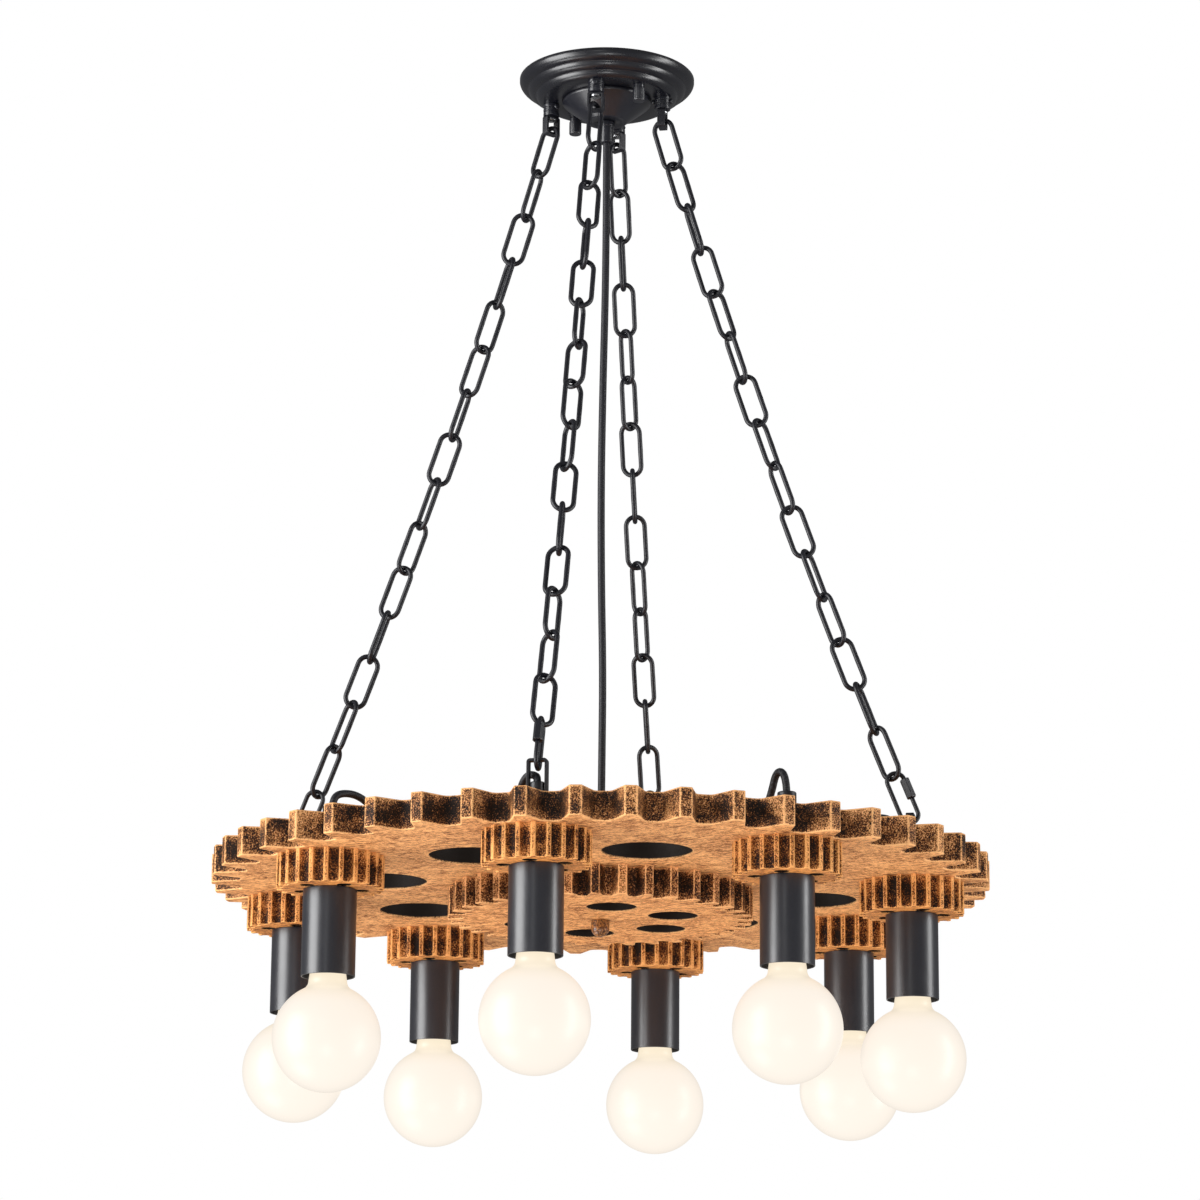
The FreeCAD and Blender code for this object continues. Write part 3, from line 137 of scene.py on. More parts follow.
def softPath(corners, radius, steps=4, closed=False):
    # outline whose corners become arcs, each with a point just before and after it to keep the flats
    # flat; a corner that runs straight on stays a point
    corners = np.asarray(corners, float)
    radii = np.broadcast_to(radius, len(corners))
    spare, sideShare, path = 1.2, 0.49, []
    for i, corner in enumerate(corners):
        if (not closed and i in (0, len(corners) - 1)) or radii[i] == 0:
            path.append(corner[None])
            continue
        a, b = corners[i - 1] - corner, corners[(i + 1) % len(corners)] - corner
        reach = sideShare * min(np.linalg.norm(a), np.linalg.norm(b))
        a, b = unit(a), unit(b)
        if np.allclose(a, -b):
            path.append(corner[None])
            continue
        half = math.acos(np.clip(a @ b, -1, 1)) / 2
        cut = min(radii[i] / math.tan(half), reach / spare)
        centre = corner + unit(a + b) * (cut / math.cos(half))
        t = np.linspace(0, 1, steps)[:, None]
        start, end = corner + a * cut - centre, corner + b * cut - centre
        swing = math.pi - 2 * half
        arc = centre + (np.sin((1 - t) * swing) * start + np.sin(t * swing) * end) / math.sin(swing)
        path += [(corner + a * cut * spare)[None], arc, (corner + b * cut * spare)[None]]
    return np.concatenate(path)


def lathe(profile, segments, middle=(0, 0), lift=0.0):
    # profile of (radius, height) carried round a vertical axis
    profile = np.asarray(profile, float)
    angle = np.arange(segments) * 2 * np.pi / segments
    grid = np.empty((segments, len(profile), 3))
    grid[..., 0] = np.cos(angle)[:, None] * profile[:, 0] + middle[0]
    grid[..., 1] = np.sin(angle)[:, None] * profile[:, 0] + middle[1]
    grid[..., 2] = profile[:, 1] + lift
    return grid


def wireGrid(path, normals, binormal, radius, sides=14):
    # circle carried along a plane path: path + radius (cos v normal + sin v binormal)
    v = np.arange(sides) * 2 * np.pi / sides
    radius = np.broadcast_to(radius, len(path))[:, None, None]
    ring = np.cos(v)[None, :, None] * normals[:, None, :] + np.sin(v)[None, :, None] * binormal
    return path[:, None, :] + radius * ring


# materials

boardLayers = ("wall", "edge", "bore", "crest")


def newMaterial(name):
    material = bpy.data.materials.new(name)
    material.use_nodes = True
    nodes = material.node_tree.nodes
    return material, nodes, material.node_tree.links, nodes["Principled BSDF"]


def objectPoint(nodes, links, scale, turn=0.0):
    # object coordinates, turned about Z and stretched
    where = nodes.new("ShaderNodeTexCoord")
    spin = nodes.new("ShaderNodeMapping")
    spin.inputs["Rotation"].default_value = (0, 0, math.radians(turn))
    stretch = nodes.new("ShaderNodeVectorMath")
    stretch.operation = "MULTIPLY"
    stretch.inputs[1].default_value = scale
    links.new(where.outputs["Object"], spin.inputs["Vector"])
    links.new(spin.outputs["Vector"], stretch.inputs[0])
    return stretch.outputs["Vector"]


def noiseField(nodes, links, vector, scale=1.0, detail=4.0, roughness=0.6, distortion=0.0):
    noise = nodes.new("ShaderNodeTexNoise")
    noise.inputs["Scale"].default_value = scale
    noise.inputs["Detail"].default_value = detail
    noise.inputs["Roughness"].default_value = roughness
    noise.inputs["Distortion"].default_value = distortion
    links.new(vector, noise.inputs["Vector"])
    return noise.outputs["Fac"]


def mathNode(nodes, links, kind, a, b=None, c=None, clamp=False):
    node = nodes.new("ShaderNodeMath")
    node.operation = kind
    node.use_clamp = clamp
    for socket, given in zip(node.inputs, (a, b, c)):
        if given is None:
            continue
        if isinstance(given, (int, float)):
            socket.default_value = given
        else:
            links.new(given, socket)
    return node.outputs[0]


def rangeNode(nodes, links, value, low, high, toLow=0.0, toHigh=1.0):
    node = nodes.new("ShaderNodeMapRange")
    node.interpolation_type = "SMOOTHSTEP"
    ends = {"From Min": low, "From Max": high, "To Min": toLow, "To Max": toHigh}
    for socket, given in ends.items():
        node.inputs[socket].default_value = given
    links.new(value, node.inputs["Value"])
    return node.outputs["Result"]


def rampNode(nodes, links, value, stops):
    node = nodes.new("ShaderNodeValToRGB")
    ramp = node.color_ramp
    while len(ramp.elements) < len(stops):
        ramp.elements.new(0.5)
    for element, (place, colour) in zip(ramp.elements, stops):
        element.position = place
        element.color = (*colour, 1)
    links.new(value, node.inputs["Fac"])
    return node.outputs["Color"]


def mixColour(nodes, links, share, a, b):
    node = nodes.new("ShaderNodeMix")
    node.data_type = "RGBA"
    links.new(share, node.inputs["Factor"])
    for socket, given in ((node.inputs[6], a), (node.inputs[7], b)):
        if isinstance(given, tuple):
            socket.default_value = (*given, 1)
        else:
            links.new(given, socket)
    return node.outputs[2]


def attributeValue(nodes, name):
    node = nodes.new("ShaderNodeAttribute")
    node.attribute_name = name
    return node.outputs["Fac"]


def addBump(nodes, links, shader, height, strength, distance):
    bump = nodes.new("ShaderNodeBump")
    bump.inputs["Strength"].default_value = strength
    bump.inputs["Distance"].default_value = distance
    links.new(height, bump.inputs["Height"])
    links.new(bump.outputs["Normal"], shader.inputs["Normal"])


paintSet = {"light": (0.9, 0.45, 0.175), "tan": (0.55, 0.215, 0.07), "brown": (0.24, 0.078, 0.023),
            "dash": (0.055, 0.018, 0.006), "black": (0.012, 0.008, 0.006), "umber": (0.075, 0.027, 0.009),
            "orange": (0.42, 0.148, 0.042), "edge": (0.87, 0.46, 0.19), "grainTurn": 34.0}
brushSet = {"grain": {"scale": (70, 230, 230), "turn": 22}, "along": {"scale": (260, 900, 900), "turn": 0},
            "aslant": {"scale": (330, 1000, 1000), "turn": -35}, "cloud": 48.0, "speck": 1050.0,
            "streaks": (1.03, 1.51), "rubs": (0.60, 0.76), "bump": 0.5, "bumpHeight": 0.0007}


def dryBrushedBoard(name, tones):
    # black ground with tan brushed over it: nearly whole on the faces, flecks on the walls,
    # worn bright at the edges
    material, nodes, links, shader = newMaterial(name)
    wall, edge, bore, crest = (attributeValue(nodes, n) for n in boardLayers)
    plain = objectPoint(nodes, links, (1, 1, 1))
    grainPoint, alongPoint, aslantPoint = (
        objectPoint(nodes, links, brushSet[k]["scale"], tones["grainTurn"] + brushSet[k]["turn"])
        for k in ("grain", "along", "aslant"))
    grain = noiseField(nodes, links, grainPoint, 1.0, 5.0, 0.65, 2.0)
    along = noiseField(nodes, links, alongPoint, 1.0, 3.0, 0.7, 1.0)
    aslant = noiseField(nodes, links, aslantPoint, 1.0, 3.0, 0.7, 1.0)
    stroke = mathNode(nodes, links, "MULTIPLY", along, 0.55)
    stroke = mathNode(nodes, links, "MULTIPLY_ADD", aslant, 0.45, stroke)
    cloud = noiseField(nodes, links, plain, brushSet["cloud"], 4.0, 0.6)
    speck = noiseField(nodes, links, plain, brushSet["speck"], 3.0, 0.75)
    # faces: long streaks, fine strokes and a slow change of tone, then short dark dashes
    streak = mathNode(nodes, links, "MULTIPLY_ADD", cloud, 0.35, grain)
    streak = mathNode(nodes, links, "MULTIPLY", streak, 0.8)
    streak = mathNode(nodes, links, "MULTIPLY_ADD", stroke, 1.5, streak)
    streak = rangeNode(nodes, links, streak, *brushSet["streaks"])
    faceTone = rampNode(nodes, links, streak, [(0.05, tones["dash"]), (0.25, tones["brown"]),
                                               (0.48, tones["tan"]), (0.80, tones["light"])])
    # walls: the brush catches more towards the crests and edges
    brushed = mathNode(nodes, links, "MULTIPLY_ADD", cloud, 0.55, speck)
    brushed = mathNode(nodes, links, "MULTIPLY_ADD", crest, 0.08, brushed)
    brushed = mathNode(nodes, links, "MULTIPLY_ADD", edge, 0.15, brushed)
    brushed = mathNode(nodes, links, "MULTIPLY_ADD", bore, -0.26, brushed)
    wallTone = rampNode(nodes, links, brushed, [(0.79, tones["black"]), (0.84, tones["umber"]),
                                                (0.895, tones["orange"]), (0.985, tones["edge"])])
    tone = mixColour(nodes, links, wall, faceTone, wallTone)
    rub = mathNode(nodes, links, "MULTIPLY_ADD", cloud, 0.4, speck)
    rub = rangeNode(nodes, links, rub, *brushSet["rubs"], 0.0, 0.9)
    rub = mathNode(nodes, links, "MULTIPLY", edge, rub)
    tone = mixColour(nodes, links, rub, tone, tones["edge"])
    links.new(tone, shader.inputs["Base Color"])
    links.new(rangeNode(nodes, links, speck, 0.35, 0.7, 0.68, 0.5), shader.inputs["Roughness"])
    shader.inputs["Specular IOR Level"].default_value = 0.2
    height = mathNode(nodes, links, "MULTIPLY", stroke, 0.6)
    height = mathNode(nodes, links, "MULTIPLY_ADD", speck, 0.8, height)
    addBump(nodes, links, shader, height, brushSet["bump"], brushSet["bumpHeight"])
    return material


blackSet = {"tube": {"tone": (0.010, 0.0105, 0.0145), "roughness": 0.33, "speckle": 1.5, "gloss": 1.0},
            "chain": {"tone": (0.004, 0.0042, 0.0075), "roughness": 0.42, "speckle": 1.5, "gloss": 0.7},
            "fitting": {"tone": (0.006, 0.0065, 0.010), "roughness": 0.3, "speckle": 2.0, "gloss": 1.0},
            "canopy": {"tone": (0.003, 0.0033, 0.006), "roughness": 0.28, "speckle": 1.5, "gloss": 1.0}}
coatSet = {"peel": 900.0, "cloud": 60.0, "change": 0.02}


def satinBlack(kind):
    # cool black powder coat with fine lighter specks and a little change in gloss
    s = blackSet[kind]
    material, nodes, links, shader = newMaterial(kind + "Black")
    plain = objectPoint(nodes, links, (1, 1, 1))
    peel = noiseField(nodes, links, plain, coatSet["peel"], 3.0, 0.5)
    cloud = noiseField(nodes, links, plain, coatSet["cloud"], 3.0, 0.5)
    low, high = s["roughness"] - coatSet["change"], s["roughness"] + coatSet["change"]
    links.new(rangeNode(nodes, links, cloud, 0.3, 0.7, low, high), shader.inputs["Roughness"])
    speck = tuple(c * s["speckle"] for c in s["tone"])
    links.new(rampNode(nodes, links, peel, [(0.35, s["tone"]), (0.75, speck)]), shader.inputs["Base Color"])
    shader.inputs["Specular IOR Level"].default_value = s["gloss"]
    return material


finialSet = {"dark": (0.012, 0.004, 0.001), "brown": (0.17, 0.058, 0.011), "light": (0.56, 0.23, 0.055),
             "fleck": 620.0, "radius": 7.1, "height": 13.0, "round": 6.8}


def finialBronze():
    # brown lacquer over flecked metal
    material, nodes, links, shader = newMaterial("finialBronze")
    fleck = noiseField(nodes, links, objectPoint(nodes, links, (1, 1, 1)), finialSet["fleck"], 4.0, 0.65)
    tone = rampNode(nodes, links, fleck, [(0.36, finialSet["dark"]), (0.5, finialSet["brown"]),
                                          (0.68, finialSet["light"])])
    links.new(tone, shader.inputs["Base Color"])
    shader.inputs["Roughness"].default_value = 0.4
    shader.inputs["Coat Weight"].default_value = 0.7
    shader.inputs["Coat Roughness"].default_value = 0.12
    return material


def plainMetal(name, colour, roughness):
    # bare metal with fine turned marks
    material, nodes, links, shader = newMaterial(name)
    marks = noiseField(nodes, links, objectPoint(nodes, links, (150, 150, 2600)), 1.0, 3.0, 0.6)
    tone = rampNode(nodes, links, marks, [(0.3, tuple(0.75 * c for c in colour)), (0.7, colour)])
    links.new(tone, shader.inputs["Base Color"])
    shader.inputs["Metallic"].default_value = 1.0
    rough = rangeNode(nodes, links, marks, 0.3, 0.7, roughness - 0.06, roughness + 0.08)
    links.new(rough, shader.inputs["Roughness"])
    addBump(nodes, links, shader, marks, 0.15, 0.0001)
    return material


braidSet = {"dark": (0.008, 0.008, 0.011), "light": (0.03, 0.03, 0.037), "ridges": 330.0, "waver": 0.6}


def cordJacket():
    # black braid: two crossing sets of fine ridges
    material, nodes, links, shader = newMaterial("cordJacket")
    ridges = []
    for turn in (1, -1):
        point = objectPoint(nodes, links, (1, 1, 1))
        wave = nodes.new("ShaderNodeTexWave")
        wave.bands_direction = "DIAGONAL"
        wave.inputs["Scale"].default_value = braidSet["ridges"]
        wave.inputs["Distortion"].default_value = braidSet["waver"]
        flip = nodes.new("ShaderNodeVectorMath")
        flip.operation = "MULTIPLY"
        flip.inputs[1].default_value = (turn, turn, 1)
        links.new(point, flip.inputs[0])
        links.new(flip.outputs["Vector"], wave.inputs["Vector"])
        ridges.append(wave.outputs["Fac"])
    weave = mathNode(nodes, links, "MULTIPLY", *ridges)
    links.new(rampNode(nodes, links, weave, [(0.1, braidSet["dark"]), (0.8, braidSet["light"])]),
              shader.inputs["Base Color"])
    shader.inputs["Roughness"].default_value = 0.5
    addBump(nodes, links, shader, weave, 0.35, 0.0004)
    return material


glowSet = {"white": (1.0, 0.912, 0.807), "neck": (0.98, 0.85, 0.645), "strength": 0.98,
           "neckTop": -0.759, "neckFoot": -0.785, "coat": 0.75, "coatRoughness": 0.36}


def litOpal():
    # milk glass lit from inside, yellower towards the neck
    material, nodes, links, shader = newMaterial("litOpal")
    where = nodes.new("ShaderNodeTexCoord")
    split = nodes.new("ShaderNodeSeparateXYZ")
    links.new(where.outputs["Object"], split.inputs[0])
    cloud = noiseField(nodes, links, objectPoint(nodes, links, (1, 1, 1)), 30.0, 2.0, 0.5)
    high = rangeNode(nodes, links, split.outputs["Z"], glowSet["neckFoot"], glowSet["neckTop"])
    high = mathNode(nodes, links, "MULTIPLY_ADD", cloud, 0.05, high, clamp=True)
    glow = mixColour(nodes, links, high, glowSet["white"], glowSet["neck"])
    links.new(glow, shader.inputs["Emission Color"])
    shader.inputs["Emission Strength"].default_value = glowSet["strength"]
    shader.inputs["Base Color"].default_value = (0.05, 0.05, 0.048, 1)
    shader.inputs["Roughness"].default_value = 0.8
    shader.inputs["Specular IOR Level"].default_value = 0.1
    shader.inputs["Coat Weight"].default_value = glowSet["coat"]
    shader.inputs["Coat Roughness"].default_value = glowSet["coatRoughness"]
    return material


boardPaint = dryBrushedBoard("dryBrushedBoard", paintSet)
# inner gear: the board paint made more orange; the extra orange is painted warm light from the bulbs
bulbLitInnerPaint = dryBrushedBoard("dryBrushedInnerBulbLit", dict(
    paintSet, light=(0.9, 0.43, 0.155), tan=(0.56, 0.195, 0.052), brown=(0.22, 0.065, 0.015)))
# small gears: the board paint made darker and more orange; the extra orange is painted warm light from the
# bulbs beneath them
bulbLitSmallPaint = dryBrushedBoard("dryBrushedSmallBulbLit", dict(
    paintSet, light=(0.8, 0.33, 0.09), tan=(0.48, 0.16, 0.038), umber=(0.065, 0.021, 0.006),
    orange=(0.34, 0.1, 0.02), edge=(0.84, 0.4, 0.13)))
tubeBlack, chainBlack, fittingBlack, canopyBlack = (satinBlack(kind) for kind in blackSet)
steelPlain = plainMetal("steelPlain", (0.62, 0.63, 0.65), 0.28)
baseMetal = plainMetal("bulbBaseMetal", (0.7, 0.69, 0.66), 0.3)
contactBrass = plainMetal("contactBrass", (0.8, 0.6, 0.28), 0.3)
cordBlack = cordJacket()
opalGlow = litOpal()
print("materials made")


# cords: the routes of the solids, as smooth splines

def makeCord(name, route, diameter, body, node):
    curve = bpy.data.curves.new(name, "CURVE")
    curve.dimensions = "3D"
    curve.resolution_u = 12
    curve.bevel_depth = diameter * mm / 2
    curve.bevel_resolution = 5
    curve.use_fill_caps = True
    spline = curve.splines.new("NURBS")
    spline.points.add(len(route) - 1)
    places = np.column_stack([np.asarray(route) * mm, np.ones(len(route))])
    spline.points.foreach_set("co", places.ravel())
    spline.order_u = 3
    spline.use_endpoint_u = True
    curve.materials.append(cordBlack)
    piece = bpy.data.objects.new(name, curve)
    bpy.context.scene.collection.objects.link(piece)
    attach(piece, body)
    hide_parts(node)
    bare = bpy.data.objects.new(name + "Line", curve.copy())
    bare.data.bevel_depth = 0
    line = bpy.data.meshes.new_from_object(bare)
    spots = np.empty(len(line.vertices) * 3)
    line.vertices.foreach_get("co", spots)
    bpy.data.curves.remove(bare.data)
    bpy.data.meshes.remove(line)


mainCordSet = {"diameter": 6.0, "route": [
    (0, 0, 595), (0.3, -0.2, 540), (0.1, 0, 465), (-1.1, 0.8, 385), (-1.8, 1.2, 305),
    (-1.1, 0.8, 225), (0.4, -0.3, 150), (0.2, -0.1, 85), (0, 0, 31)]}
# each lead: (way inwards from the lamp, way sideways, height over the gear), in mm
leadKinds = ["tight", "side", "wide", "tall", "wide", "side", "tight", "tall"]
leadSet = {"diameter": 5.6, "routes": {
    "tight": [(0, 0, 9.2), (0, 0, 21), (5, 0.3, 32.5), (14, 0.6, 33), (20, 0.9, 19),
              (28, 1.5, 8), (46, 3, 4), (78, 5, 3.4), (122, 3, 3.6), (166, 1, 5), (200, 0, 6.5)],
    "wide": [(0, 0, 9.2), (0, 0, 21), (7, -0.4, 27), (22, -1, 27.5), (36, -2, 20),
             (48, -2.6, 9), (66, -3.5, 4), (94, -5, 3.4), (132, -4, 3.6), (168, -1.5, 5), (200, 0, 6.5)],
    "side": [(0, 0, 9.2), (0.2, 0, 16.8), (6.5, -2.5, 20.5), (10.5, -9, 22.5), (14, -14.5, 16.5),
             (20, -17, 8), (35, -17, 4), (64, -12, 3.4), (110, -6, 3.6), (160, -1.5, 5), (200, 0, 6.5)],
    "tall": [(0, 0, 9.2), (0.2, 0, 16.8), (8.5, 0.3, 20.2), (16, 0.8, 28.5), (28, 1.4, 30),
             (38, 2, 19), (47, 2.6, 8.5), (64, 3.5, 4), (92, 5, 3.4), (132, 4, 3.6),
             (168, 1.5, 5), (200, 0, 6.5)]}}

mainRoute = np.array(mainCordSet["route"]) + [0, 0, gearTop]
makeCord("mainCord", mainRoute, mainCordSet["diameter"], "canopy", "main_cord")
for number, (angle, kind) in enumerate(zip(lampAngles, leadKinds), start=1):
    steps = np.array(leadSet["routes"][kind])
    outward, sideways = polar(1, angle), polar(1, angle + 90)
    flat = outward * (lampRadius - steps[:, :1]) + sideways * steps[:, 1:2]
    route = np.column_stack([flat, steps[:, 2] + gearTop])
    makeCord(f"lampLead{number}", route, leadSet["diameter"], "gear", "lamp_leads")
print("cords laid")


# toothed boards: flat kept beside a root arc, wall under a worn edge, and how far an edge's wear reaches

rootSpare, wallBand, wearReach = 0.3, 3.0, 5.0
holeWear, boreSteps = 0.8, 7


def toothOutline(g):
    # four corners a tooth, two at the tip and two at the root, every corner an arc
    teeth = np.arange(g["teeth"]) * 2 * np.pi / g["teeth"] + math.radians(g["turn"])
    tip, root = g["radius"], g["radius"] - g["depth"]
    tipHalf = math.asin(g["land"] / 2 / tip)
    rootHalf = np.pi / g["teeth"] - math.atan(g["rootWidth"] / 2 / root)
    rootReach = math.hypot(root, g["rootWidth"] / 2)
    angles = teeth[:, None] + np.array([-rootHalf, -tipHalf, tipHalf, rootHalf])
    reach = np.array([rootReach, tip, tip, rootReach])
    corners = np.stack([np.cos(angles) * reach, np.sin(angles) * reach], axis=-1).reshape(-1, 2)
    radii = np.tile([g["rootRound"], g["tipRound"], g["tipRound"], g["rootRound"]], g["teeth"])
    a, b = unit(np.roll(corners, 1, 0) - corners), unit(np.roll(corners, -1, 0) - corners)
    half = np.arccos(np.clip((a * b).sum(1), -1, 1)) / 2
    cut = radii / np.tan(half)
    centre = corners + unit(a + b) * (radii / np.sin(half))[:, None]
    start, end = corners + a * cut[:, None] - centre, corners + b * cut[:, None] - centre
    swing = (np.pi - 2 * half)[:, None, None]
    t = np.linspace(0, 1, g["steps"])[None, :, None]
    arcs = np.sin((1 - t) * swing) * start[:, None] + np.sin(t * swing) * end[:, None]
    arcs = centre[:, None] + arcs / np.sin(swing)
    spare = np.where(radii == g["tipRound"], g["worn"], rootSpare)[:, None]
    before, after = corners + a * (cut[:, None] + spare), corners + b * (cut[:, None] + spare)
    loop = np.concatenate([before[:, None], arcs, after[:, None]], axis=1)
    worn = np.zeros(loop.shape[:2])
    worn[radii == g["tipRound"], 1:-1] = np.sin(np.linspace(0.2, np.pi - 0.2, g["steps"])) ** 0.7
    loop, worn = loop.reshape(-1, 2), worn.ravel()
    first = np.argmin(np.arctan2(loop[:, 1], loop[:, 0]))
    return np.roll(loop, -first, 0), np.roll(worn, -first)


def edgeProfile(top, foot, ease, worn, steps=4):
    # from the top face over an eased edge, down the wall and over the lower edge:
    # (inset, height, face share, worn, wall)
    t = np.linspace(0, np.pi / 2, steps)
    face = [(ease, 1.0, 0), (ease, 0.5, 0), (ease, 0.12, 0), (ease + worn, 0, 0),
            (ease + 0.3 * worn, 0, 0.7)]
    rows = [(inset, top, s, w, 0) for inset, s, w in face]
    rows += [(ease * (1 - math.sin(a)), top - ease * (1 - math.cos(a)), 0, 1, math.sin(a)) for a in t]
    high, low = top - ease, foot + ease
    deep = (high - low) / 2
    rows += [(0, high - step, 0, 0, 1) for step in (worn, worn + wallBand, deep)]
    rows += [(0, low + step, 0, 0, 1) for step in (worn + wallBand, worn)]
    rows += [(ease * (1 - math.cos(a)), foot + ease * (1 - math.sin(a)), 0, 1, math.cos(a)) for a in t]
    rows += [(inset, foot, s, w, 0) for inset, s, w in face[::-1]]
    return np.array(rows)


def toothedBoard(g, top, foot, middle=(0, 0)):
    # rim: outline carried down the edge profile; round each hole: lines from the hole's edge to its
    # own sector's border
    loop, wornU = toothOutline(g)
    count = len(loop)
    ahead = unit(np.roll(loop, -1, 0) - np.roll(loop, 1, 0))
    inward = np.column_stack([-ahead[:, 1], ahead[:, 0]])
    rows = edgeProfile(top, foot, g["ease"], g["worn"])
    angle = np.arctan2(loop[:, 1], loop[:, 0])
    ring = g["midRadius"] * np.column_stack([np.cos(angle), np.sin(angle)])
    flat = loop[:, None] + inward[:, None] * rows[None, :, :1]
    rim = np.empty((count, len(rows), 3))
    rim[..., :2] = flat + (ring[:, None] - flat) * rows[None, :, 2:3]
    rim[..., 2] = rows[:, 1]
    worn = np.maximum(rows[None, :, 3], wornU[:, None] * rows[None, :, 4])
    height = np.clip((np.linalg.norm(loop, axis=1) - g["radius"] + g["depth"]) / g["depth"], 0, 1)
    near = np.clip(1 - np.minimum(top - rows[:, 1], rows[:, 1] - foot) / wearReach, 0, 1)
    crest = g["crest"] * height[:, None] + near[None, :]
    grids = [(rim, True, False, {"edge": worn, "wall": rows[None, :, 4], "crest": crest})]
    step = 360 / g["holes"]
    bounds = np.radians(g["holeTurn"] + step * (np.arange(g["holes"] + 1) - 0.5))
    marks = [int(np.argmin(np.abs(np.angle(np.exp(1j * (angle - b)))))) for b in bounds]
    spokes = np.linspace(g["midRadius"], g["boreRadius"], g["spokeSteps"])
    core = []
    for k in range(g["holes"]):
        i, j = marks[k], marks[k + 1]
        arc = np.take(ring, np.arange(i, j + 1 if j > i else j + 1 + count), axis=0, mode="wrap")
        lastAngle, firstAngle = angle[j], angle[i]
        sweep = np.angle(np.exp(1j * (firstAngle - lastAngle)))
        small = lastAngle + np.linspace(0, sweep, boreSteps)
        inner = g["boreRadius"] * np.column_stack([np.cos(small), np.sin(small)])
        border = np.concatenate([
            arc, spokes[1:-1, None] * np.array([math.cos(lastAngle), math.sin(lastAngle)]), inner,
            spokes[-2:0:-1, None] * np.array([math.cos(firstAngle), math.sin(firstAngle)])])
        core.append(inner[:-1])
        hub = polar(g["holeCircle"], g["holeTurn"] + step * k)
        out = unit(border - hub)
        lip = hub + out[:, None] * (g["holeRadius"] + rows[None, :, :1])
        face = np.empty((len(border), len(rows), 3))
        face[..., :2] = lip + (border[:, None] - lip) * rows[None, :, 2:3]
        face[..., 2] = rows[:, 1]
        grids.append((face, True, False, {"edge": rows[None, :, 3] * holeWear, "bore": rows[None, :, 4],
                                          "wall": rows[None, :, 4]}))
    core = np.concatenate(core[::-1])
    bore = np.empty((len(core), 2, 3))
    bore[..., :2] = core[:, None]
    bore[..., 2] = [top, foot]
    grids.append((bore, True, False, {"bore": 1.0}))
    for grid, _, _, _ in grids:
        grid[..., :2] += middle
    return grids


mainGearSet = {"teeth": 48, "radius": 300, "depth": 22, "land": 9, "rootWidth": 11.4, "rootRound": 5,
               "tipRound": 1.3, "turn": 0, "ease": 0.6, "worn": 0.6, "steps": 5, "midRadius": 262,
               "boreRadius": 3.1, "spokeSteps": 26, "holes": 8, "holeCircle": 170, "holeRadius": 33.5,
               "holeTurn": 22.5, "crest": 0.7}
innerGearSet = {"teeth": 36, "radius": 118, "depth": 12, "land": 6.4, "rootWidth": 6.2, "rootRound": 2.4,
                "tipRound": 0.9, "turn": 4, "ease": 0.45, "worn": 0.4, "steps": 4, "midRadius": 93,
                "boreRadius": 3.1, "spokeSteps": 22, "holes": 6, "holeCircle": 60, "holeRadius": 19,
                "holeTurn": 4, "crest": 0.8, "thickness": 23}
pinionSet = {"teeth": 22, "radius": 40, "depth": 5, "land": 3.4, "rootWidth": 6.4, "rootRound": 2.9,
             "tipRound": 0.7, "turn": 8.18, "ease": 0.4, "worn": 0.28, "steps": 3, "midRadius": 32,
             "boreRadius": 4.1, "spokeSteps": 12, "holes": 5, "holeCircle": 23.6, "holeRadius": 5.5,
             "holeTurn": 0, "crest": 1.6, "thickness": 25, "turns": [5, 20, -8, 31, 14, 0, 26, 9]}
innerFoot = gearFoot - innerGearSet["thickness"]
pinionFoot = gearFoot - pinionSet["thickness"]

makePiece("mainGear", toothedBoard(mainGearSet, gearTop, gearFoot), boardPaint, "gear",
          ["main_gear"], boardLayers)
makePiece("innerGear", toothedBoard(innerGearSet, gearFoot, innerFoot), bulbLitInnerPaint, "gear",
          ["inner_gear"], boardLayers)
for number, (angle, turn) in enumerate(zip(lampAngles, pinionSet["turns"]), start=1):
    turned = dict(pinionSet, turn=pinionSet["turn"] + angle + turn, holeTurn=angle + turn)
    grids = toothedBoard(turned, gearFoot, pinionFoot, polar(lampRadius, angle))
    makePiece(f"smallGear{number}", grids, bulbLitSmallPaint, "gear", ["pinions"], boardLayers)
print("gears cut")


# lamps

lampSet = {"tubeRadius": 20, "tubeWall": 1, "tubeLength": 65, "rodHole": 4.1, "globeRadius": 40,
           "globeDrop": 135.2 - pinionSet["thickness"], "neckRadius": 14.2, "neckBlend": 7,
           "baseRadius": 13.2, "baseRecess": 4}


def tubeProfile(s):
    # tube with a closed, slightly rounded top and a thin lower rim, open below
    out, wall, foot, hole = s["tubeRadius"], s["tubeWall"], -s["tubeLength"], s["rodHole"]
    bore = out - wall
    return softPath([(hole, 0), (out, 0), (out, foot), (bore, foot), (bore, -wall), (hole, -wall)],
                    [0.0, 0.6, 0.35, 0.35, 0.6, 0.0], 4, closed=True)


def globeProfile(s, steps=48):
    # closed top, neck line, tangent blend and globe: (radius, height) down to the lowest point
    globe, neck, blend = s["globeRadius"], s["neckRadius"], s["neckBlend"]
    middle = -s["globeDrop"]
    rise = math.sqrt((globe + blend) ** 2 - (neck + blend) ** 2)
    tilt = math.atan2(rise, neck + blend)
    top = np.array([(s["baseRadius"], -s["tubeLength"] + s["baseRecess"]), (neck, middle + rise)])
    line = top[0] + (top[1] - top[0]) * np.linspace(0, 0.95, 6)[:, None]
    lid = top[0] * [[0, 1], [0.97, 1]]
    a = np.linspace(np.pi, np.pi + tilt, 14)
    hollow = np.column_stack([neck + blend + blend * np.cos(a), middle + rise + blend * np.sin(a)])
    b = np.linspace(tilt, -np.pi / 2, steps)[1:]
    ball = np.column_stack([np.maximum(globe * np.cos(b), 0), middle + globe * np.sin(b)])
    return np.concatenate([lid, line, hollow, ball])


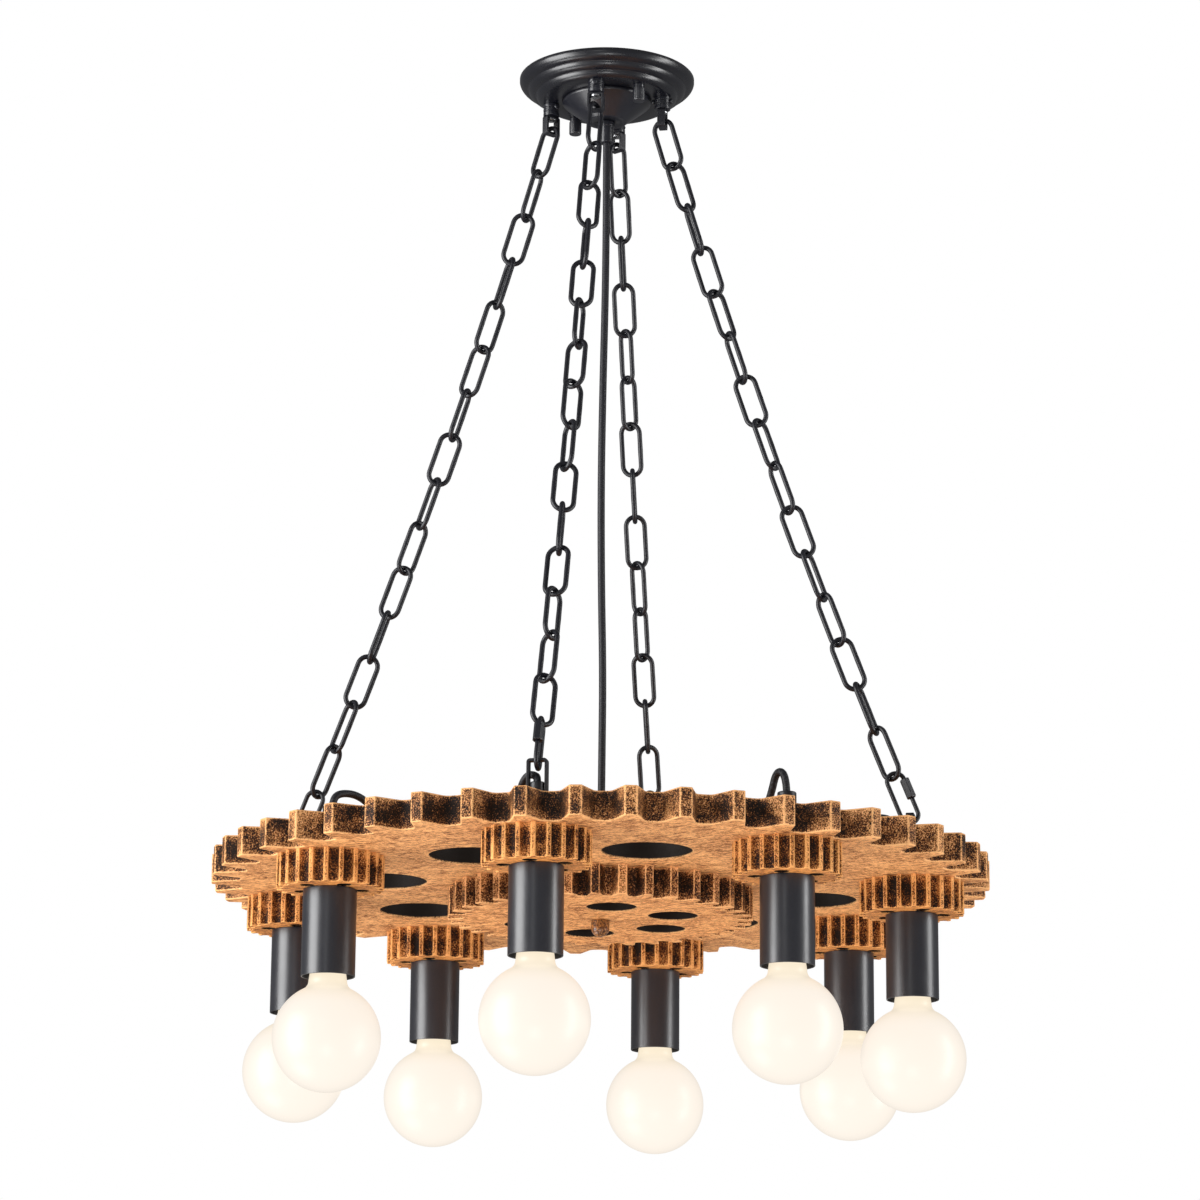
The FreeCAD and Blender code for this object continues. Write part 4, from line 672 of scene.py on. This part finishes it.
tubeLine, globeLine = tubeProfile(lampSet), globeProfile(lampSet)
tubeGrids = [(lathe(tubeLine, 72, polar(lampRadius, a), pinionFoot), True, True, {}) for a in lampAngles]
makePiece("lampTubes", tubeGrids, tubeBlack, "gear", ["lamp_shades"])
for number, angle in enumerate(lampAngles, start=1):
    globe = lathe(globeLine, 88, polar(lampRadius, angle), pinionFoot)
    makePiece(f"bulbGlobe{number}", [(globe, True, False, {})], opalGlow, f"bulb_{number}",
              [f"bulb_globe_{number}"])
print("lamps made")


# finial, canopy and its fittings

def finialProfile(s):
    # straight side, then a quarter round down to a small flat foot
    a = np.linspace(0, np.pi / 2, 16)
    edge, middle = s["radius"] - s["round"], s["round"] - s["height"]
    side = softPath([(0, 0), (s["radius"], 0), (s["radius"], middle)], 0.5, 4)
    foot = np.column_stack([edge + s["round"] * np.cos(a), middle - s["round"] * np.sin(a)])
    return np.concatenate([side, foot[1:], [(0, -s["height"])]])


finialGrid = lathe(finialProfile(finialSet), 56, (0, 0), innerFoot)
makePiece("finialKnob", [(finialGrid, True, False, {})], finialBronze(), "gear", ["finial"])

dishSet = {"radius": 71, "faceRadius": 51, "depth": 19, "lip": 3, "wall": 1.2, "rings": 3, "hole": 6,
           "ease": 0.5, "lipFlat": 0.4, "faceFlat": 4}


def dishProfile(s, steps=10):
    # three quarter-round rings down to a flat face, and the same inside
    rings = s["rings"]
    across, drop = (s["radius"] - s["faceRadius"]) / rings, (s["depth"] - s["lip"]) / rings
    bend = (across ** 2 + drop ** 2) / (2 * drop)
    start = math.asin(across / bend)
    a = np.linspace(start, 0, steps)
    one = np.column_stack([bend * np.sin(a), -bend * np.cos(a)])
    one = one - [bend * math.sin(start), -bend * math.cos(start)]
    rim, hole, ease, flat = s["radius"], s["hole"], s["ease"], s["lipFlat"]
    outer = np.concatenate([one + [rim - across * k, -s["lip"] - drop * k] for k in range(rings)])
    outer = np.concatenate([[(rim - ease, 0), (rim, -ease), (rim, -s["lip"] + flat)], outer,
                            [(s["faceRadius"] - s["faceFlat"], -s["depth"]), (hole, -s["depth"])]])
    inner = outer[::-1] + [-s["wall"], s["wall"]]
    inner[0, 0], inner[-1] = hole, (rim - s["wall"] - flat, 0)
    inner[-2] = (rim - s["wall"], -ease)
    return np.concatenate([outer, inner])


makePiece("canopyDish", [(lathe(dishProfile(dishSet), 128), True, True, {})], canopyBlack, "canopy",
          ["canopy_shell"])
coneSet = {"line": [(34.8, 0), (36, 0), (36, -2), (16, -18), (5.2, -18), (5.2, -16.8), (15.4, -16.8),
                    (34.8, -2.4)], "rounds": [0.3, 0.4, 1.6, 1.4, 0, 0, 0.4, 0.4], "height": 18}
gripSet = {"line": [(3.3, 0), (6.5, 0), (6.5, -4), (5.7, -4.4), (5.7, -18), (3.3, -18)],
           "rounds": [0, 0.5, 0.4, 0.2, 0.6, 0.3]}
coneLine = softPath(coneSet["line"], coneSet["rounds"], 5, closed=True)
makePiece("canopyCone", [(lathe(coneLine, 96, (0, 0), canopyFace), True, True, {})], fittingBlack, "canopy",
          ["canopy_cone"])
gripLine = softPath(gripSet["line"], gripSet["rounds"], 4, closed=True)
gripGrid = lathe(gripLine, 48, (0, 0), canopyFace - coneSet["height"])
makePiece("cordGrip", [(gripGrid, True, True, {})], fittingBlack, "canopy", ["cord_grip"])

knobSet = {"reach": 46, "radius": 5, "height": 14, "collar": 3, "neck": 0.5, "rise": 0.6, "bore": 2.3,
           "boreDepth": 10, "flutes": 24, "fluteDepth": 0.22, "sides": 96}


def capNut(s, middle):
    # fluted cylinder: the radius waves round the axis between a plain collar and a plain foot
    radius, neck, shoulder = s["radius"], s["radius"] - s["neck"], -s["collar"] - s["rise"]
    corners = [(s["bore"], 0), (neck, 0), (neck, -s["collar"]), (radius, shoulder),
               (radius, -s["height"]), (0, -s["height"])]
    line = softPath(corners, [0, 0.3, 0.3, 0.3, 0.9, 0], 4)
    bored = np.concatenate([[(0, -s["boreDepth"]), (s["bore"], -s["boreDepth"])], line])
    grid = lathe(bored, s["sides"])
    angle = np.arange(s["sides"]) * 2 * np.pi / s["sides"]
    wave = 1 - s["fluteDepth"] / radius * (0.5 + 0.5 * np.cos(angle * s["flutes"]))[:, None]
    share = np.where((bored[:, 0] > radius - 0.2) & (bored[:, 1] < shoulder + 0.1), 1.0, 0.0)[None, :]
    grid[..., :2] *= (1 + (wave - 1) * share)[..., None]
    return grid + np.array([*middle, canopyFace])


for number, angle in ((1, 270), (2, 90)):
    nut = capNut(knobSet, polar(knobSet["reach"], angle))
    makePiece(f"capNut{number}", [(nut, True, False, {})], fittingBlack, f"cap_nut_{number}",
              [f"cap_nut_{number}"])

hangSet = {"turns": {"back": -30, "left": -40, "front": 0, "right": 0}, "loopWidth": 13.4, "loopHeight": 16,
           "strap": 2.0, "strapWidth": 6.4, "bend": 1.3, "collarHeight": 10}
ridgeSet = {"bore": 2.6, "radius": 6.5, "groove": 5.8, "top": 2.4, "first": 3.4, "pitch": 1.76, "count": 3,
            "ease": 0.16}
headSet = {"line": [(2.5, 6), (2.5, -12), (4.3, -12), (4.3, -13.6), (0, -15)], "rounds": [0, 0, 0.3, 0.6, 0]}
sideScrewSet = {"line": [(1.5, 3.5), (1.5, 6.6), (2.3, 6.6), (2.3, 8.0), (0, 9.1)],
                "rounds": [0, 0, 0.25, 0.7, 0], "drop": 3}


def ridgedCollar(s, height):
    # sleeve with grooves cut round it: (radius, height) round its section
    out, line = s["radius"], [(s["bore"], 0), (s["radius"], 0), (s["radius"], -s["top"])]
    for ridge in range(s["count"]):
        low = -s["first"] - ridge * s["pitch"]
        line += [(s["groove"], low + 0.6), (s["groove"], low), (out, low - 0.4), (out, low - 0.9)]
    return softPath(line + [(out, -height), (s["bore"], -height)], s["ease"], 3, closed=True)


def headedRod(s):
    # rod with a rounded head, closed flat at its other end
    return np.concatenate([[(0, s["line"][0][1])], softPath(s["line"], s["rounds"], 5)])


collarLine = ridgedCollar(ridgeSet, hangSet["collarHeight"])
headLine, knobLine = headedRod(headSet), headedRod(sideScrewSet)
collarGrids, headGrids, knobGrids = [], [], []
for chain, angle in chainAngles.items():
    hub = polar(hangRadius, angle)
    collarGrids.append((lathe(collarLine, 56, hub, canopyFace), True, True, {}))
    headGrids.append((lathe(headLine, 40, hub, canopyFace), True, False, {}))
    for side in (0, 180):
        knob = lathe(knobLine, 24)[..., [2, 0, 1]]
        knob = knob @ turnZ(angle + hangSet["turns"][chain] + side).T
        knob = knob + [*hub, canopyFace - sideScrewSet["drop"]]
        knobGrids.append((knob, True, False, {}))
makePiece("hangerCollars", collarGrids, fittingBlack, "canopy", ["hanger_collars"])
makePiece("hangerScrews", headGrids, steelPlain, "canopy", ["hanger_screws"])
makePiece("collarKnobs", knobGrids, fittingBlack, "canopy", ["collar_screws"])


strapEase = 0.35


def strapLoop(width, height, strap, strapWidth, bend):
    # strap section carried round a rounded rectangle in the YZ plane, standing on z = 0
    half, thin, wide = (width - strap) / 2, strap / 2, strapWidth / 2
    line = softPath([(-half, thin), (half, thin), (half, height - thin), (-half, height - thin)],
                    bend, 7, closed=True)
    section = softPath([(-wide, -thin), (wide, -thin), (wide, thin), (-wide, thin)], strapEase, 3, closed=True)
    ahead = unit(np.roll(line, -1, 0) - np.roll(line, 1, 0))
    out = np.column_stack([ahead[:, 1], -ahead[:, 0]])
    grid = np.empty((len(line), len(section), 3))
    grid[..., 0] = section[None, :, 0]
    grid[..., 1:] = line[:, None] + out[:, None] * section[None, :, 1:]
    return grid


loopShape = strapLoop(hangSet["loopWidth"], hangSet["loopHeight"], hangSet["strap"], hangSet["strapWidth"],
                      hangSet["bend"])
loopFoot = canopyFace - hangSet["collarHeight"] - hangSet["loopHeight"]
for chain, angle in chainAngles.items():
    grid = loopShape @ turnZ(angle + hangSet["turns"][chain]).T
    grid = grid + [*polar(hangRadius, angle), loopFoot]
    makePiece(f"hangerLoop_{chain}", [(grid, True, True, {})], chainBlack, f"chain_{chain}",
              [f"hanger_loop_{chain}"])
print("canopy made")


# chains

chainSet = {"links": 15, "wire": 3.9, "innerLength": 38.58, "innerWidth": 12.1, "seatRadius": 6.35,
            "play": 0.2, "sag": 8.0, "hookPlay": 0.3, "weld": {"rise": 0.05, "width": 0.5, "length": 2.0},
            "first": {"back": 125, "left": 118, "front": 112, "right": 108},
            "step": {"back": 71, "left": 70.5, "front": -75, "right": -63}}
quickSet = {"wire": 3.5, "innerLength": 38, "innerWidth": 10, "play": 0.35, "gap": 5, "gapStart": 9,
            "endEase": 0.3, "legPoint": -8.0, "upsideDown": ["left"],
            "turn": {"back": 90, "left": 90, "front": 90, "right": 76},
            "nutWidth": 6.8, "nutLength": 16, "nutStart": 7, "nutBore": 2.05, "nutRound": 0.4,
            "nutChamfer": 0.6, "nutFlat": 0.3}
gearLoopSet = {"width": 15.6, "height": 31.5, "strap": 2.2, "strapWidth": 6.0, "bend": 1.6, "base": 8.0,
               "hole": 4.1, "ease": 0.3}
legShares = np.array([-0.98, -0.5, 0.0, 0.5, 0.98])[:, None]


def hookSeat(endRadius, strapWidth, lean, play):
    # how far a link's inner end lies past the middle of the flat bar that it hooks over
    half = strapWidth / 2
    rise = endRadius - math.sqrt(endRadius ** 2 - (half * math.cos(lean)) ** 2)
    return half * math.sin(lean) + rise + play


def chainPoints(angle):
    # where the links meet: a straight line with a shallow parabola towards the middle
    c, q = chainSet, quickSet
    pitch, quickPitch = c["innerLength"] - c["play"], q["innerLength"] - q["play"]
    run = c["links"] * pitch + quickPitch
    chord = run - 8 * c["sag"] ** 2 / (3 * run)
    lean = math.asin((lampRadius - hangRadius) / chord)
    outward = np.array([*polar(1, angle), 0])
    bar = outward * hangRadius + [0, 0, loopFoot + hangSet["strap"]]
    foot = outward * lampRadius + [0, 0, gearTop + gearLoopSet["height"] - gearLoopSet["strap"]]
    along = unit(foot - bar)
    inward = np.cross(np.array([-outward[1], outward[0], 0]), along)
    inward *= -np.sign(inward @ outward)
    start = bar - along * hookSeat(c["seatRadius"], hangSet["strapWidth"], lean, c["hookPlay"])
    share = np.append(np.arange(c["links"] + 1) * pitch / run, 1.0)[:, None]
    return outward, start + along * chord * share + inward * 4 * c["sag"] * share * (1 - share)


def linkFrames(points, rolls, outward):
    # axes of each link: width across, side, and long axis up the chain
    along = unit(points[:-1] - points[1:])
    tangent = np.broadcast_to(np.array([-outward[1], outward[0], 0]), along.shape)
    radial = np.cross(tangent, along)
    roll = np.radians(rolls)[:, None]
    across = tangent * np.cos(roll) + radial * np.sin(roll)
    return np.stack([across, np.cross(along, across), along], axis=1), (points[:-1] + points[1:]) / 2


def upright(flat):
    return np.column_stack([flat[:, 0], np.zeros(len(flat)), flat[:, 1]])


def ovalPath(length, width, ends=15):
    # middle line of a link in the XZ plane with its outward normals: one leg, one end, and the same again
    half, leg = width / 2, (length - width) / 2
    a = np.linspace(0, np.pi, ends)
    right = np.concatenate([np.full_like(legShares, half), legShares * leg], axis=1)
    top = np.column_stack([half * np.cos(a), leg + half * np.sin(a)])
    loop = np.concatenate([right, top, -right, -top])
    bend = np.concatenate([np.tile([1.0, 0], (len(right), 1)), np.column_stack([np.cos(a), np.sin(a)])])
    return upright(loop), upright(np.concatenate([bend, -bend]))


def chainLink(s):
    # round wire on the oval, a little thicker at the weld on one leg
    loop, normal = ovalPath(s["innerLength"] + s["wire"], s["innerWidth"] + s["wire"])
    across, along = (loop[:, 0] - loop[:, 0].max()) / s["weld"]["width"], loop[:, 2] / s["weld"]["length"]
    weld = 1 + s["weld"]["rise"] * np.exp(-across ** 2 - along ** 2)
    return wireGrid(loop, normal, np.array([0, 1.0, 0]), s["wire"] / 2 * weld)


def quickLink(s):
    # open oval whose two wire ends stop inside the sleeve nut
    length, width = s["innerLength"] + s["wire"], s["innerWidth"] + s["wire"]
    loop, normal = ovalPath(length, width)
    ease, legCount = s["endEase"], len(legShares)
    gapTop = length / 2 - s["gapStart"]
    gapFoot = gapTop - s["gap"]
    upper = upright(np.array([(width / 2, z) for z in (gapTop, gapTop, gapTop + ease)]))
    lower = upright(np.array([(width / 2, z) for z in (s["legPoint"], gapFoot - ease, gapFoot, gapFoot)]))
    path = np.concatenate([upper, loop[legCount:], lower])
    bend = np.concatenate([normal[:len(upper)], normal[legCount:], normal[:len(lower)]])
    size = np.full(len(path), s["wire"] / 2)
    size[[0, -1]] = 0.0
    size[[1, -2]] = s["wire"] / 2 - ease
    return wireGrid(path, bend, np.array([0, 1.0, 0]), size)


def sleeveNut(s):
    # hexagon with eased corners, chamfered at both ends and bored through
    corner = np.radians(np.arange(6) * 60 + 30)
    reach = s["nutWidth"] / math.sqrt(3)
    hexagon = softPath(np.column_stack([np.cos(corner), np.sin(corner)]) * reach, s["nutRound"], 3, closed=True)
    size = np.linalg.norm(hexagon, axis=1)
    out = hexagon / size[:, None]
    high, cut = s["nutLength"], s["nutChamfer"]
    inset = cut + s["nutFlat"]
    widths = {"bore": np.full_like(size, s["nutBore"]), "end": np.minimum(size, s["nutWidth"] / 2 - 0.1),
              "side": size}
    levels = [("bore", 0), ("end", 0), ("side", cut), ("side", inset), ("side", high - inset),
              ("side", high - cut), ("end", high), ("bore", high)]
    grid = np.empty((len(hexagon), len(levels), 3))
    for column, (kind, z) in enumerate(levels):
        grid[:, column, :2] = out * widths[kind][:, None]
        grid[:, column, 2] = z
    return grid


linkShape, quickShape, nutShape = chainLink(chainSet), quickLink(quickSet), sleeveNut(quickSet)
nutFoot = (quickSet["innerLength"] + quickSet["wire"]) / 2 - quickSet["nutStart"] - quickSet["nutLength"]
nutShape = nutShape + [(quickSet["innerWidth"] + quickSet["wire"]) / 2, 0, nutFoot]
for chain, angle in chainAngles.items():
    outward, points = chainPoints(angle)
    rolls = chainSet["first"][chain] + chainSet["step"][chain] * np.arange(chainSet["links"])
    axes, middles = linkFrames(points, np.append(rolls, quickSet["turn"][chain]), outward)
    links = np.einsum("uvi,kij->kuvj", linkShape, axes[:-1]) + middles[:-1, None, None]
    makePiece(f"chainLinks_{chain}", [(one, True, True, {}) for one in links], chainBlack, f"chain_{chain}",
              [f"chain_{chain}"])
    hung = axes[-1] * [[1], [-1], [-1]] if chain in quickSet["upsideDown"] else axes[-1]
    makePiece(f"quickLink_{chain}", [(quickShape @ hung + middles[-1], False, True, {})], chainBlack,
              f"chain_{chain}", [f"quick_link_{chain}"])
    makePiece(f"sleeveNut_{chain}", [(nutShape @ hung + middles[-1], True, True, {})], chainBlack,
              f"sleeve_nut_{chain}", [f"sleeve_nut_{chain}"])
print("chains hung")


# loops and collars on the gear

frameShape = strapLoop(*(gearLoopSet[k] for k in ("width", "height", "strap", "strapWidth", "bend")))
hole, base, thick = (gearLoopSet[k] for k in ("hole", "base", "strap"))
discLine = softPath([(hole, 0), (base, 0), (base, thick), (hole, thick)], gearLoopSet["ease"], 3, closed=True)
loopGrids = []
for angle in chainAngles.values():
    hub = polar(lampRadius, angle)
    loopGrids.append((frameShape @ turnZ(angle).T + [*hub, gearTop], True, True, {}))
    loopGrids.append((lathe(discLine, 48, hub, gearTop), True, True, {}))
makePiece("gearLoops", loopGrids, chainBlack, "gear", ["gear_loops"])

leadCollarSet = {"bore": 3.1, "rounds": [0, 0.4, 1.2, 0.3],
                 "plain": {"radius": 7.0, "height": 16.0, "lift": 0.0},
                 "slim": {"radius": 5.4, "height": 12.0, "lift": gearLoopSet["strap"]}}
leadGrids = []
for angle in lampAngles:
    s = leadCollarSet["slim" if angle in chainAngles.values() else "plain"]
    bore, radius, height = leadCollarSet["bore"], s["radius"], s["height"]
    line = softPath([(bore, 0), (radius, 0), (radius, height), (bore, height)], leadCollarSet["rounds"], 5,
                    closed=True)
    leadGrids.append((lathe(line, 48, polar(lampRadius, angle), gearTop + s["lift"]), True, True, {}))
makePiece("leadCollars", leadGrids, chainBlack, "gear", ["lead_collars"])
print("gear fittings made")


# solids that stay as they are get the same finishes

finishes = {"ceiling_bracket": steelPlain, "canopy_screws": steelPlain, "canopy_lock_nuts": steelPlain,
            "centre_nipple": steelPlain, "centre_bolt": steelPlain, "lamp_rods": steelPlain,
            "wiring_cup": canopyBlack, "cup_screws": canopyBlack, "cup_gland": canopyBlack,
            "socket_bodies": tubeBlack, "socket_contacts": contactBrass}
finishes.update({f"bulb_base_{n}": baseMetal for n in range(1, 9)})
for node, material in finishes.items():
    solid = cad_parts[node]
    solid.data.materials.clear()
    solid.data.materials.append(material)
print("solids finished")


# studio: white all round for the camera, softer for the light, with tall panels for long highlights

studioSet = {"floor": -6.5, "floorHalf": 40.0, "floorGlow": 0.5, "fade": (1.2, 6.0), "worldLight": 0.17,
             "target": (0, 0, -0.55), "panels": [
    {"at": (-2.76, 0.48, -0.6), "size": (1.9, 3.4), "power": 126, "shine": True},
    {"at": (2.0, -1.96, -0.6), "size": (0.75, 3.4), "power": 52, "shine": True},
    {"at": (-2.5, -2.5, 0.45), "size": (0.4, 1.6), "power": 4, "shine": True},
    {"at": (-1.2, -1.8, -2.2), "size": (0.6, 0.6), "power": 7, "shine": True},
    {"at": (-0.9, -1.3, -2.45), "size": (3.2, 3.2), "power": 31, "shine": False},
    {"at": (-1.16, 0.78, -2.4), "size": (0.9, 0.9), "power": 10, "shine": True},
    {"at": (0.25, 0.2, 1.2), "size": (0.9, 0.9), "power": 13, "shine": False}]}


def buildStudio():
    scene = bpy.context.scene
    world = bpy.data.worlds.new("studio")
    scene.world = world
    world.use_nodes = True
    nodes, links = world.node_tree.nodes, world.node_tree.links
    back = nodes["Background"]
    path = nodes.new("ShaderNodeLightPath")
    rays = (path.outputs["Is Camera Ray"], path.outputs["Is Transmission Ray"])
    seen = mathNode(nodes, links, "MAXIMUM", *rays)
    low = studioSet["worldLight"]
    strength = mathNode(nodes, links, "MULTIPLY_ADD", seen, 1.0 - low, low)
    links.new(strength, back.inputs["Strength"])
    back.inputs["Color"].default_value = (1, 1, 1, 1)
    for k, panel in enumerate(studioSet["panels"], start=1):
        data = bpy.data.lights.new(f"panel{k}", "AREA")
        data.shape = "RECTANGLE"
        data.size, data.size_y = panel["size"]
        data.energy = panel["power"]
        light = bpy.data.objects.new(f"panel{k}", data)
        light.visible_camera, light.visible_glossy = False, panel["shine"]
        facing = unit(np.array(panel["at"]) - studioSet["target"])
        side = unit(np.cross([0, 0, 1.0], facing))
        place = np.eye(4)
        place[:3, :3] = np.stack([side, np.cross(facing, side), facing], axis=1)
        place[:3, 3] = panel["at"]
        light.matrix_world = Matrix(place.tolist())
        scene.collection.objects.link(light)
    mesh = bpy.data.meshes.new("paleFloor")
    half = studioSet["floorHalf"]
    corners = [(-half, -half, 0), (half, -half, 0), (half, half, 0), (-half, half, 0)]
    mesh.from_pydata(corners, [], [(0, 1, 2, 3)])
    floor = bpy.data.objects.new("paleFloor", mesh)
    floor.location.z = studioSet["floor"]
    scene.collection.objects.link(floor)
    material, floorNodes, floorLinks, shader = newMaterial("paleFloor")
    shader.inputs["Base Color"].default_value = (0.7, 0.7, 0.7, 1)
    shader.inputs["Roughness"].default_value = 0.8
    shader.inputs["Emission Color"].default_value = (1, 1, 1, 1)
    where = floorNodes.new("ShaderNodeTexCoord")
    reach = floorNodes.new("ShaderNodeVectorMath")
    reach.operation = "LENGTH"
    floorLinks.new(where.outputs["Object"], reach.inputs[0])
    ray = floorNodes.new("ShaderNodeLightPath")
    rise = 1.0 - studioSet["floorGlow"]
    far = rangeNode(floorNodes, floorLinks, reach.outputs["Value"], *studioSet["fade"], 0.0, rise)
    far = mathNode(floorNodes, floorLinks, "MULTIPLY", far, ray.outputs["Is Camera Ray"])
    glow = mathNode(floorNodes, floorLinks, "ADD", far, studioSet["floorGlow"])
    floorLinks.new(glow, shader.inputs["Emission Strength"])
    floor.visible_glossy = False
    mesh.materials.append(material)
    scene.view_settings.view_transform = "Standard"


buildStudio()
print("studio lit")
